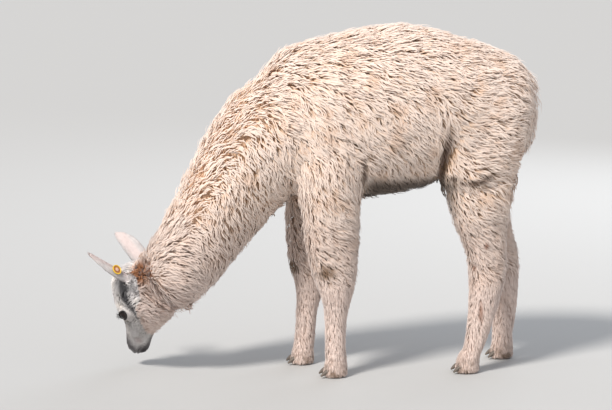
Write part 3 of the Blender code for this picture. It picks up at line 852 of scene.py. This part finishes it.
def strands(name, chosen, count, guide_gap, bends, tip_pull=0.22, wave=1.0, girth=1.0):
    """One mesh of strands rooted on the chosen triangles of the skin."""
    points, normals, flat = roots_on(chosen, count)
    length = lock_length(points)
    guides = max(8, int((AREA * chosen).sum() / guide_gap ** 2 * 1.2))
    guide_points, guide_normals, _ = roots_on(chosen, guides)
    guide_length = lock_length(guide_points)
    swirl = 0.26 * lumps(guide_points, 0.10, 8) * (guide_length > 0.015)
    spread = np.interp(guide_length, (0.006, 0.02), (0.06, 0.14))
    guide_way = turned_about(lie(guide_points, guide_normals), guide_normals,
                             swirl + dice.normal(0, 1, guides) * spread)
    way = lie(points, normals)
    nearest = nearest_lock(points, way, guide_points)

    # a strand's own direction, then its lock's
    own = turned_about(way, normals, dice.normal(0, 0.14, count))
    shared = unit(flattened(guide_way[nearest], normals))
    own = unit(own * OWN_SHARE + shared * LOCK_SHARE)
    across = np.cross(normals, own)

    on_body = ear_places(points) == 0
    depth = np.where(on_body, coat_depth(points), EAR_COAT)
    swell = 1 + 0.12 * lumps(points, 0.11, 3) + 0.05 * lumps(points, 0.035, 5)
    height = depth * swell * dice.normal(1, 0.06, guides)[nearest] * (1 - 0.62 * crease(points))
    length = length * dice.normal(1, 0.12, count) * dice.normal(1, 0.10, guides)[nearest]

    # the line that a strand follows: out of the skin, over, and along it, in a wave
    shares = np.array(bends)
    rise = 1 - (1 - np.clip(shares * 1.25, 0, 1)) ** 2
    path = (points[:, None] + normals[:, None] * by_row(height, rise)
            + own[:, None] * by_row(length, shares ** 1.25))
    middle = guide_points[nearest] + guide_normals[nearest] * height[:, None] + shared * length[:, None]
    pull = (middle - path[:, -1]) * tip_pull
    pull *= np.minimum(1, 0.35 * length / np.maximum(size_of(pull), 1e-6))[:, None]
    pull -= shared * np.sum(pull * shared, axis=1)[:, None] * 0.8      # a lock closes across its line only
    path += pull[:, None] * (shares ** 1.5)[None, :, None]
    phase = 4.0 * lumps(points, 0.055, 9) + dice.normal(0, 0.9, guides)[nearest] + dice.normal(0, 0.3, count)
    turns = np.minimum(length / 0.030, 1.15)
    swing = length * 0.080 * wave * np.minimum(1, length / 0.02)
    angle = phase[:, None] + WHOLE_TURN * turns[:, None] * shares[None, :]
    grow = np.clip(shares * 1.6, 0, 1)
    path += across[:, None] * (swing[:, None] * np.sin(angle) * grow)[..., None]
    path += normals[:, None] * (swing[:, None] * 0.45 * np.cos(angle) * grow)[..., None]

    # strands end on the coat's shape, a little under or over it by their lock
    excess, outward = beyond_coat(path[:, -1])
    wanted = depth * (0.11 * lumps(points, 0.09, 3) + dice.normal(0, 0.04, guides)[nearest]
                      + dice.normal(-0.04, 0.06, count) + 0.30 * (dice.random(count) < 0.04) - 0.9 * crease(points))
    tail = smooth_step(0.048, 0.036, np.abs(points[:, 0])) * smooth_step(0.59, 0.62, points[:, 1])
    wanted += 0.016 * tail * smooth_step(0.66, 0.70, points[:, 2]) * smooth_step(0.95, 0.90, points[:, 2])
    crown = bump(from_line(in_frame(points, HEAD_FRAME), (-0.02, -0.055, 0.03), (0.02, -0.055, 0.03)), 0.026)
    wanted += 0.006 * crown * dice.random(count)
    push = np.clip(wanted - excess, -1.3 * depth, 0.6 * depth) * on_body
    path += outward[:, None] * by_row(push, np.clip(shares * 1.15, 0, 1))
    path[..., 2] = np.maximum(path[..., 2], FLOOR_GAP)

    width = lock_width(length) * dice.uniform(0.75, 1.25, count) * girth
    shade = 0.4 * dice.random(guides)[nearest] + 0.6 * dice.random(count)
    return spun(name, path, across, normals, width, shares, flat, shade)


SIDE_DROP, CREST_RISE = 0.22, 0.40       # a strand's section, over half its width
ROUND = 0.55                             # how far a strand's shading turns to its sides
PATCH = 0.003                            # a strand's patch on the pattern


def spun(name, path, across, normals, width, shares, flat, shade):
    """One mesh of three-sided strands round their lines, closed at the root and pointed at the tip."""
    count, rings = len(path), len(shares) - 1
    taper = np.interp(shares, (0, 0.35, 0.80, 1), (0.80, 1.0, 0.80, 0))
    half = (width[:, None] * taper[None, :rings] / 2)[..., None]
    line, aside, out = path[:, :rings], across[:, None] * half, normals[:, None] * half
    body = np.stack((line + aside - out * SIDE_DROP, line + out * CREST_RISE, line - aside - out * SIDE_DROP), axis=2)
    verts = np.concatenate((body.reshape(count, rings * 3, 3), path[:, -1:]), axis=1)
    # light falls on a strand's top nearly as on the body under it, so the coat looks soft and not
    # ropy; its underside keeps its own normal
    own_up = unit(np.cross(path[:, 1:] - path[:, :-1], across[:, None]))
    up = 0.6 * normals[:, None] + 0.4 * own_up
    tops = np.stack((up + across[:, None] * ROUND, up, up - across[:, None] * ROUND), axis=2)
    tops = unit(np.concatenate((tops.reshape(count, rings * 3, 3), up[:, -1:]), axis=1).reshape(-1, 3))
    unders = -np.concatenate((np.repeat(own_up, 3, axis=1), own_up[:, -1:]), axis=1).reshape(-1, 3)
    each = rings * 3 + 1
    faces = [(0, 2, 1)]
    for low in range(0, rings * 3 - 3, 3):
        for corner in range(3):
            after, high = (corner + 1) % 3, low + 3
            faces += [(low + corner, high + after, high + corner), (low + corner, low + after, high + after)]
    last = rings * 3 - 3
    faces = np.array(faces + [(last + corner, last + (corner + 1) % 3, each - 1) for corner in range(3)])
    indices = (faces[None] + (np.arange(count) * each)[:, None, None]).reshape(-1, 3)
    below = [True] + [False, False, False, False, True, True] * (rings - 1) + [False, False, True]
    facing = np.where(np.tile(below, count)[:, None, None], unders[indices], tops[indices])

    along = np.append(np.repeat(shares[:rings], 3), 1.0)
    beside = np.append(np.tile((0.0, 0.5, 1.0), rings), 0.5)
    patch = np.column_stack((beside - 0.5, along - 0.5)) * PATCH
    laid = (flat[:, None] + patch[None]).reshape(-1, 2)[indices.ravel()]
    return build_mesh(name, verts.reshape(-1, 3), facing, indices, laid, np.tile(along, count),
                      np.repeat(shade, each))


def build_mesh(name, verts, facing, indices, laid, along, shade):
    """A mesh from its numbers, with its own normals, a pattern map and two values at each point."""
    def fill(items, label, values, kind=np.float32):
        items.foreach_set(label, values.astype(kind).ravel())

    mesh = bpy.data.meshes.new(name)
    mesh.vertices.add(len(verts))
    mesh.loops.add(indices.size)
    mesh.polygons.add(len(indices))
    fill(mesh.vertices, "co", verts)
    fill(mesh.loops, "vertex_index", indices, np.int32)
    fill(mesh.polygons, "loop_start", np.arange(0, indices.size, 3), np.int32)
    fill(mesh.uv_layers.new(name="OFBake").data, "uv", laid)
    fill(mesh.attributes.new("reach", "FLOAT", "POINT").data, "value", along)
    fill(mesh.attributes.new("shade", "FLOAT", "POINT").data, "value", shade)
    mesh.update(calc_edges=True)
    mesh.shade_smooth()
    mesh.normals_split_custom_set(facing.reshape(-1, 3).astype(np.float32))
    print(name, len(indices), "triangles")
    return placed(name, mesh)


# %% [markdown]
# ### The pieces of the coat
# One mesh with every strand would be too heavy to handle, so the coat is split where the regions
# of the animal part. Each piece gets its own number of strands, and short hair needs fewer
# bends than a long lock does.

# %% Where each piece of the coat lies
x, y, z = MIDDLE.T
BEHIND = beyond(MIDDLE, FOLD_START, FOLD_BACK) >= 0
POLL_AWAY, LOCAL = from_poll(MIDDLE), in_frame(MIDDLE, HEAD_FRAME)
*_, OUT, GAP = eye_opening(LOCAL)
OPENING = (eye_distance(LOCAL) < EYE_RADIUS + 0.0050) & (GAP < 0.14) & (OUT > 0.2)
MUZZLE = LOCAL[:, 1] + 0.004 * lumps(MIDDLE, 0.012, 12) < -0.278
FACE = on_face(MIDDLE) > 0.5
EARS = (ear_places(MIDDLE) != 0) & (POLL_AWAY < 0.22)
SHORT_HAIR = FACE & ~EARS & ~OPENING & ~MUZZLE
CROWN = SHORT_HAIR & (LOCAL[:, 1] > -0.112) & (POLL_AWAY < 0.20)
NECK = (y < NECK_BEFORE) & ~FACE & ~EARS
NECK = NECK * (1 + 1.3 * smooth_step(0.24, 0.13, POLL_AWAY))     # closer by the poll
LOW = (z < 0.50) & (y > NECK_BEFORE)
TRUNK = ~LOW & (y >= NECK_BEFORE) & (crease(MIDDLE) <= 0.45)
SHIN = LOW & (z < 0.285)
LONG_BENDS = (0, 0.38, 0.60, 0.80, 1.0)
MIDDLE_BENDS = (0, 0.40, 0.72, 1.0)
SHORT_BENDS = (0, 0.45, 1.0)

# each piece: its name and place, how many strands, the gap between its guides, and its bends
coat = []
for side in (1, -1):
    for part, where in (("shoulder", y < 0.10), ("flank", (y >= 0.10) & ~BEHIND), ("rump", BEHIND)):
        where = TRUNK & where & (x * side > 0)
        coat.append(strands(f"fleece_{part}_{SIDE_NAME[side]}", where, 5200, 0.015, LONG_BENDS))
coat.append(strands("fleece_neck", NECK, 8550, 0.011, LONG_BENDS, tip_pull=0.15))
for side in (1, -1):
    for leg, where in (("foreleg", y < 0.28), ("hindleg", y >= 0.28)):
        leg, where = f"{leg}_{SIDE_NAME[side]}", where & (x * side > 0)
        coat.append(strands(f"fleece_{leg}", where & LOW & ~SHIN, 3150, 0.013, MIDDLE_BENDS))
        coat.append(strands(f"wool_{leg}", where & SHIN, 5250, 0.008, SHORT_BENDS, tip_pull=0.25, wave=0.6))
coat.append(strands("hair_face", SHORT_HAIR & ~CROWN, 9500, 0.008, SHORT_BENDS, tip_pull=0.2, wave=0.4))
coat.append(strands("hair_crown", CROWN, 5500, 0.009, MIDDLE_BENDS, tip_pull=0.25, wave=0.5, girth=0.85))
coat.append(strands("hair_ears", EARS, 2600, 0.009, SHORT_BENDS, tip_pull=0.2, wave=0.3))
print(sum(len(piece.data.polygons) for piece in coat), "triangles of coat in", len(coat), "pieces")

# %% [markdown]
# ### Eyelashes
# A llama's upper lid carries long dark lashes that stand out over the eye and turn up a little.
# They are spun like the coat's strands, but their lines are drawn from the lid's edge.

# %% Eyelashes
LASHES = 36              # on each upper lid
along = np.tile(np.linspace(-0.62, 0.76, LASHES), 2) + dice.normal(0, 0.012, 2 * LASHES)
up = 0.66 * (1 - (along / EYE_HALF) ** 2) + 0.06
frame_of_eye = np.array((EYE_LONG, EYE_UP, EYE_AXIS))
ray = np.column_stack((along, up, np.sqrt(1 - along ** 2 - up ** 2))) @ frame_of_eye
reach = dice.uniform(0.008, 0.013, 2 * LASHES)[:, None, None]
share = np.array(MIDDLE_BENDS)[None, :, None]
lean = frame_of_eye[0][None] * along[:, None] * 0.6 - frame_of_eye[1][None] * 0.45
lines = (ray * (EYE_RADIUS + LID * 0.5))[:, None] + np.array(EYE_PLACE)
lines = lines + reach * share * (ray + lean)[:, None] + reach * share ** 2 * 0.55 * frame_of_eye[1]
lines[LASHES:, :, 0] *= -1                  # the second half belongs to the right eye
ray[LASHES:, 0] *= -1
lines = out_of_frame(lines, HEAD_FRAME)
outward = ray @ np.array(HEAD_AXES).T
across = unit(np.cross(outward, lines[:, -1] - lines[:, 0]))
nearest = [int(np.argmin(size_of(MIDDLE - line[0]))) for line in lines]
lashes = spun("eyelashes", lines, across, outward, np.full(2 * LASHES, 0.0008), share.ravel(),
              FLAT[nearest].mean(axis=1), np.zeros(2 * LASHES))

# %% [markdown]
# ## Colours and finishes
# A llama's coat has one set of markings on skin and wool alike: cream wool that is ochre in its
# depths, a grey face that darkens to the muzzle, a rusty patch behind the ears, brown dirt at the
# knees. So the markings are one node group, which reads where a point lies on the animal, how far
# along its strand it is and how light its strand is. Each finish then adds its own sheen and gloss.

# %% Small helpers for nodes
def add_node(tree, kind, inputs=None, **settings):
    """Add a node, set it, and plug sockets or values into its inputs: returns its outputs."""
    made = tree.nodes.new("ShaderNode" + kind)
    for key, value in settings.items():
        setattr(made, key, value)
    for key, value in (inputs or {}).items():
        if isinstance(value, bpy.types.NodeSocket):
            tree.links.new(value, made.inputs[key])
        else:
            made.inputs[key].default_value = value
    return made.outputs


def ranged(value, low, high, start=0.0, end=1.0):
    """A soft step of a value, from start at low to end at high."""
    return add_node(value.id_data, "MapRange", {"Value": value, "From Min": low, "From Max": high,
                    "To Min": start, "To Max": end}, interpolation_type="SMOOTHSTEP")["Result"]


def reckoned(operation, one, two=0.0):
    """One sum on one or two values."""
    return add_node(one.id_data, "Math", {0: one, 1: two}, operation=operation)[0]


def times(value, *others):
    """A value multiplied by others."""
    for other in others:
        value = reckoned("MULTIPLY", value, other)
    return value


def painted(under, over, mark, share=1.0):
    """One colour laid over another where a mark is, by up to a share."""
    under, over = ((*colour, 1) if isinstance(colour, tuple) else colour for colour in (under, over))
    mark = mark if share == 1.0 else times(mark, share)
    return add_node(mark.id_data, "Mix", {0: mark, 6: under, 7: over}, data_type="RGBA")[2]


def arrows(operation, first, *others):
    """One sum on vectors, as a node's two outputs: a vector and a number."""
    inputs = [first] + [tuple(other) if isinstance(other, Vector) else other for other in others]
    return add_node(first.id_data, "VectorMath", dict(enumerate(inputs)), operation=operation)


def along_axis(place, start, axis):
    """How far a place lies along an axis from its start."""
    return arrows("DOT_PRODUCT", arrows("SUBTRACT", place, start)[0], axis)["Value"]


def spot(place, centre, core, edge, squeeze=None):
    """A soft round mark: 1 within core of its centre, 0 beyond edge."""
    offset = arrows("SUBTRACT", place, centre)[0]
    if squeeze:
        offset = arrows("MULTIPLY", offset, squeeze)[0]
    return ranged(arrows("LENGTH", offset)["Value"], edge, core)


def stripe(place, start, end, core, edge):
    """A soft stripe between two places: 1 within core of it, 0 beyond edge."""
    run = Vector(end) - Vector(start)
    share = add_node(place.id_data, "Math", {0: along_axis(place, start, run / run.length_squared), 1: 0.0},
                     operation="ADD", use_clamp=True)[0]
    foot = arrows("MULTIPLY_ADD", share, run, start)[0]
    return ranged(arrows("DISTANCE", place, foot)["Value"], edge, core)


def clouds(place, scale, detail=3.0):
    """A cloudy value between 0 and 1."""
    return add_node(place.id_data, "TexNoise", {"Vector": place, "Scale": scale, "Detail": detail,
                    "Roughness": 0.55})["Fac"]


def place_in(tree):
    """Where a point lies on the animal."""
    return add_node(tree, "TexCoord")["Object"]


# %% [markdown]
# ### The markings
# A mark is a soft spot, stripe or step at its place on the animal, and a cloudy noise breaks
# some of the edges, as hair does. The marks are painted one over another, from the wool's own
# cream to the dirt that lies on it, and some of them are painted shade in folds and hollows.

# %% The markings
def wool_markings(place, reach):
    """Cream wool with painted shade in its folds, a belly darkened by dust and painted shade, painted shade down the
    legs, pinker shins, soiled knees and a rusty patch.
    """
    left, back, height = add_node(place.id_data, "SeparateXYZ", {0: place})
    wide = reckoned("ABSOLUTE", left)
    # ochre and brown in its depths
    tip = painted((0.87, 0.70, 0.585), (0.87, 0.745, 0.665), clouds(place, 5))
    tip = painted(tip, (0.76, 0.52, 0.37), ranged(clouds(place, 16), 0.50, 0.68), 0.45)
    root = painted((0.66, 0.39, 0.21), (0.78, 0.55, 0.37), clouds(place, 9))
    wool = painted(root, tip, ranged(reach, 0.10, 0.75))

    # painted shade: the fold before the thigh, the hollow behind the elbow and, mostly on the left,
    # the stifle's underside are painted dark red-brown where shade falls, and the belly is darker,
    # partly dust and partly painted shade
    fold = ranged(reckoned("ABSOLUTE", along_axis(place, FOLD_START, FOLD_BACK)), 0.020, 0.005)
    fold = times(fold, ranged(height, 0.80, 0.66), ranged(wide, 0.07, 0.09), ranged(height, 0.50, 0.54))
    wool = painted(wool, (0.105, 0.055, 0.034), fold, 0.92)
    both_sides = add_node(place.id_data, "CombineXYZ", {0: wide, 1: back, 2: height})[0]
    elbow = stripe(both_sides, (0.165, 0.126, 0.660), (0.140, 0.132, 0.580), 0.004, 0.016)
    from_side = add_node(place.id_data, "CombineXYZ", {1: back, 2: height})[0]
    stifle = reckoned("MAXIMUM", *(stripe(from_side, *ends, 0.003, 0.019) for ends in (STIFLE[:2], STIFLE[1:])))
    stifle = times(stifle, ranged(wide, 0.10, 0.13), ranged(left, -0.05, 0.10, 0.30, 1.0),
                   ranged(clouds(place, 40), 0.30, 0.60, 0.35, 1.0))
    for mark in (elbow, stifle):
        wool = painted(wool, (0.125, 0.072, 0.046), mark, 0.88)
    # the belly's underside is darkened, partly dust and partly painted shade
    belly = times(ranged(back, 0.11, 0.17), ranged(back, 0.43, 0.37), ranged(height, 0.612, 0.566))
    wool = painted(wool, (0.075, 0.051, 0.034), belly, 0.94)

    # the legs darken downwards with painted shade, the shins are a little pinker, the feet and knees soiled
    wool = painted(wool, (0.62, 0.50, 0.445), ranged(height, 0.56, 0.36), 0.55)
    wool = painted(wool, (0.82, 0.67, 0.61), ranged(height, 0.34, 0.22), 0.45)
    soil = times(ranged(height, 0.060, 0.012, 0.0, 0.75), ranged(clouds(place, 45), 0.42, 0.62))
    for knee in ((0.137, 0.026, 0.322), (-0.120, -0.045, 0.310), (-0.085, -0.052, 0.300)):
        mark = times(spot(place, knee, 0.010, 0.038), ranged(clouds(place, 42), 0.25, 0.55, 0.40, 1.0))
        soil = reckoned("MAXIMUM", soil, mark)
    wool = painted(wool, (0.20, 0.12, 0.070), soil)
    for gland, tall in (((0.126, 0.488, 0.190), 0.22), ((-0.126, 0.590, 0.190), 0.22),
                        ((0.126, 0.462, 0.321), 0.8), ((0.158, 0.496, 0.390), 0.8)):
        wool = painted(wool, (0.26, 0.105, 0.055), spot(place, gland, 0.003, 0.013, (1, 1, tall)), 0.8)

    # the rusty patch behind the poll
    rust = spot(place, (0.032, -0.514, 0.318), 0.026, 0.046)
    return painted(wool, (0.45, 0.205, 0.098), times(rust, ranged(clouds(place, 70), 0.20, 0.46)))


# a bluish grey for painted shade on the temples and cheeks, and the colour of pale hair
PAINTED_SHADE_GREY, PALE_HAIR = (0.066, 0.063, 0.070), (0.90, 0.85, 0.80)


def face_markings(place):
    """In the head's own frame and alike on both sides: greyish white, with painted shade on the temples,
    the cheeks and the nose bridge, pale brows and forelock, and a nearly black muzzle. Returns the
    colour, where it holds, and how far it is muzzle."""
    aside, behind, over = (along_axis(place, POLL, HEAD_AXES @ Vector(axis))
                           for axis in ((1, 0, 0), (0, 1, 0), (0, 0, 1)))
    aside = reckoned("ABSOLUTE", aside)
    local = add_node(place.id_data, "CombineXYZ", {0: aside, 1: behind, 2: over})[0]
    lobe = stripe(local, (0.054, 0.003, 0.002), (0.062, -0.042, -0.038), 0.013, 0.024)
    ahead = reckoned("MINIMUM", along_axis(place, FACE_POINT, FACE_SLOPE), along_axis(place, EARS_BEHIND, NOSEWARD))
    ahead = reckoned("ADD", ahead, times(lobe, 0.022))
    ahead = reckoned("ADD", ahead, ranged(clouds(place, 90), 0.3, 0.7, -0.004, 0.004))
    is_face = times(ranged(ahead, -0.004, 0.004), spot(local, (0, -0.14, -0.05), 0.20, 0.22))
    face = painted((0.62, 0.585, 0.57), (0.82, 0.78, 0.75), clouds(local, 34))
    # painted shade down the middle of the nose bridge
    bridge_shade = times(ranged(aside, 0.024, 0.008), ranged(behind, -0.13, -0.17))
    for mark, share, paint in (
        (bridge_shade, 0.72, (0.18, 0.168, 0.172)),
        (lobe, 0.92, (0.84, 0.80, 0.785)),
        (stripe(local, (0.066, -0.045, -0.044), (0.066, -0.092, -0.068), 0.006, 0.013), 0.85, PALE_HAIR),
        # painted shade: dark stripes from under the ear past the eye, and faintly down the cheek
        (stripe(local, (0.048, -0.026, 0.018), (0.060, -0.064, -0.006), 0.009, 0.024), 0.84, PAINTED_SHADE_GREY),
        (stripe(local, (0.060, -0.064, -0.006), (0.068, -0.086, -0.040), 0.005, 0.017), 0.82, PAINTED_SHADE_GREY),
        (stripe(local, (0.069, -0.088, -0.044), (0.066, -0.112, -0.066), 0.003, 0.008), 0.75, PAINTED_SHADE_GREY),
        (stripe(local, (0.052, -0.128, -0.058), (0.038, -0.185, -0.078), 0.001, 0.011), 0.25, PAINTED_SHADE_GREY),
        (spot(local, (0.056, -0.112, 0.002), 0.006, 0.018), 0.85, PALE_HAIR),
        (spot(local, (0.010, -0.068, 0.038), 0.020, 0.042), 0.80, PALE_HAIR),
        (spot(local, (0.062, 0.000, 0.018), 0.004, 0.016), 0.70, (0.62, 0.40, 0.36)),
    ):
        face = painted(face, paint, mark, share)
    muzzle = reckoned("ADD", behind, ranged(clouds(local, 28), 0.0, 1.0, 0.025, -0.025))
    muzzle = ranged(muzzle, -0.215, -0.285)
    face = painted(face, (0.085, 0.076, 0.080), muzzle)
    face = painted(face, (0.52, 0.43, 0.41), spot(local, (0.030, -0.226, -0.089), 0.004, 0.018), 0.6)
    face = painted(face, (0.028, 0.023, 0.025), ranged(behind, -0.283, -0.300))
    lids = spot(local, EYE_PLACE + EYE_AXIS * (EYE_RADIUS + 0.002), 0.0168, 0.0195, (1, 0.78, 1.1))
    return painted(face, (0.020, 0.016, 0.016), lids), is_face, muzzle


def ear_markings(place, side):
    """White at the ear's rims, pinkish where the hair is thin, with painted shade in its hollow: returns
    the colour and where it holds."""
    turn, start = ear_frame(side).to_3x3(), ear_frame(side).translation
    up_ear, wide_ear, hollow = (along_axis(place, start, turn @ Vector(axis))
                                for axis in ((0, 0, 1), (1, 0, 0), (0, -1, 0)))
    middle = ear_frame(side) @ Vector((0, 0, EAR_LENGTH * 0.55))
    on_ear = times(ranged(up_ear, 0.008, 0.026), spot(place, middle, 0.085, 0.088))
    hair = painted((0.50, 0.465, 0.455), (0.72, 0.68, 0.665), clouds(place, 60))
    hair = painted(hair, (0.66, 0.50, 0.46), ranged(reckoned("ABSOLUTE", wide_ear), 0.022, 0.006), 0.45)
    # painted shade: the hollow side of the ear is darkened
    return painted(hair, (0.20, 0.165, 0.165), ranged(hollow, 0.004, 0.014), 0.8), on_ear


def llama_markings():
    """Colour by place on the animal (Colour) and how much of it is bare muzzle (Bare)."""
    tree = bpy.data.node_groups.new("llama_markings", "ShaderNodeTree")
    for label, start in (("Reach", 0.0), ("Shade", 0.5)):
        tree.interface.new_socket(label, in_out="INPUT", socket_type="NodeSocketFloat").default_value = start
    for label, kind in (("Colour", "NodeSocketColor"), ("Bare", "NodeSocketFloat")):
        tree.interface.new_socket(label, in_out="OUTPUT", socket_type=kind)
    given, out = tree.nodes.new("NodeGroupInput").outputs, tree.nodes.new("NodeGroupOutput").inputs
    place = place_in(tree)
    face, is_face, muzzle = face_markings(place)
    colour = painted(wool_markings(place, given["Reach"]), face, is_face)
    for side in (1, -1):
        hair, on_ear = ear_markings(place, side)
        colour = painted(colour, hair, on_ear)
    light = ranged(given["Shade"], 0.0, 1.0, 0.90, 1.05)
    lit = add_node(tree, "VectorMath", {0: colour, "Scale": light}, operation="SCALE")[0]
    tree.links.new(lit, out["Colour"])
    tree.links.new(times(muzzle, is_face), out["Bare"])
    return tree


MARKINGS = llama_markings()
print("markings:", len(MARKINGS.nodes), "nodes")


# %% [markdown]
# ### Skin, fleece and hair
# The three finishes share the markings. Wool scatters light softly, so it gets some sheen and no
# gloss. Short hair is a little glossier. The skin shows between them, and bare on the muzzle,
# where a fine leathery grain breaks its surface.

# %% Coat and skin finishes
def plug(shader, **sockets):
    """Link sockets to a shader's inputs."""
    for label, socket in sockets.items():
        socket.id_data.links.new(socket, shader.inputs[label.replace("_", " ")])


def bumped(height, strength, distance):
    """A normal that follows a height."""
    return add_node(height.id_data, "Bump", {"Height": height, "Strength": strength,
                    "Distance": distance})["Normal"]


def coat_finish(name, roughness, sheen):
    """Wool or hair: the markings, by each strand's own reach and shade."""
    made, tree, shader = new_finish(name, roughness, Sheen_Weight=sheen, Sheen_Roughness=0.5, Specular_IOR_Level=0.25)
    strand = {label: add_node(tree, "Attribute", attribute_name=label.lower())["Fac"]
              for label in ("Reach", "Shade")}
    plug(shader, Base_Color=add_node(tree, "Group", strand, node_tree=MARKINGS)["Colour"])
    return made


fleece_finish = coat_finish("cream_fleece_finish", 0.95, 0.35)
hair_finish = coat_finish("short_hair_finish", 0.75, 0.10)

skin_finish, tree, shader = new_finish("skin_finish", 0.8)
marks = tree.nodes.new("ShaderNodeGroup")
marks.node_tree = MARKINGS
marks.inputs["Reach"].default_value, marks.inputs["Shade"].default_value = 0.30, 0.45
place = place_in(tree)
grain = add_node(tree, "TexVoronoi", {"Vector": place, "Scale": 520.0})["Distance"]
plug(shader, Base_Color=marks.outputs["Colour"], Roughness=ranged(marks.outputs["Bare"], 0.0, 1.0, 0.85, 0.42),
     Normal=bumped(reckoned("ADD", times(grain, 0.5), clouds(place, 900, 2.0)), 0.35, 0.0012))

# %% [markdown]
# ### Eyes, horn and plastic
# A llama's eye is large, dark brown and wet, with a wide pupil. The nails are worn horn with fine
# growth rings. The tag is moulded yellow plastic, orange-brown in its recess.

# %% Eye, horn and tag finishes
eye_finish, tree, shader = new_finish("wet_eye_finish", 0.04, IOR=1.38)
place = place_in(tree)
fronts = [HEAD_FRAME @ (sided(EYE_PLACE, side) + sided(EYE_AXIS, side) * EYE_RADIUS) for side in (1, -1)]
iris = reckoned("MAXIMUM", *(spot(place, front, 0.0105, 0.0120) for front in fronts))
pupil = reckoned("MAXIMUM", *(spot(place, front, 0.0050, 0.0062) for front in fronts))
brown = painted((0.008, 0.004, 0.003), (0.018, 0.009, 0.005), clouds(place, 700))
brown = painted(painted((0.010, 0.008, 0.007), brown, iris), (0.004, 0.004, 0.005), pupil)
plug(shader, Base_Color=brown, Roughness=ranged(iris, 0.0, 1.0, 0.12, 0.04))

horn_finish, tree, shader = new_finish("dark_horn_finish", 0.5)
place = place_in(tree)
rings = add_node(tree, "TexWave", {"Vector": place, "Scale": 160.0, "Distortion": 3.0, "Detail": 2.0},
                 bands_direction="Y")["Fac"]
worn = clouds(place, 120)
horn = painted(painted((0.070, 0.057, 0.048), (0.19, 0.155, 0.125), worn), (0.20, 0.165, 0.13), rings, 0.35)
plug(shader, Base_Color=horn, Roughness=ranged(worn, 0.2, 0.8, 0.40, 0.70), Normal=bumped(rings, 0.3, 0.0004))

lash_finish = new_finish("dark_lash_finish", 0.45, (0.018, 0.014, 0.013))[0]

tag_finish, tree, shader = new_finish("yellow_tag_finish", 0.38)
place = place_in(tree)
dirt = clouds(place, 260)
plastic = painted((0.86, 0.56, 0.035), (0.66, 0.40, 0.05), ranged(dirt, 0.5, 0.75))
plate = painted((0.50, 0.20, 0.045), (0.30, 0.115, 0.04), ranged(dirt, 0.35, 0.65))
plastic = painted(plastic, plate, spot(place, TAG_FACE, 0.0112, 0.0124))
plastic = painted(plastic, (0.70, 0.46, 0.36), spot(place, TAG_FACE, 0.0050, 0.0058))
plug(shader, Base_Color=plastic, Roughness=ranged(dirt, 0.3, 0.7, 0.30, 0.55))

# %% [markdown]
# ## Finish
# Every piece gets its finish and rides on the one body of this still model, and the solids that
# the pieces stand for are hidden.

# %% Paint, ride and replace
hair = [piece for piece in coat if piece.name.startswith("hair")]
fleece = [piece for piece in coat if piece not in hair]
for finish, pieces in ((skin_finish, [skin]), (fleece_finish, fleece), (hair_finish, hair), (eye_finish, eyes),
                       (horn_finish, nails), (lash_finish, [lashes]), (tag_finish, [tag])):
    for piece in pieces:
        piece.data.materials.append(finish)
print("finishes:", ", ".join(m.name for m in bpy.data.materials if m.name.endswith("finish")))

for piece in [skin, tag, lashes, *eyes, *nails, *coat]:
    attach(piece, "root")
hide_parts(*FLESH, "head", "ear_left", "ear_right")
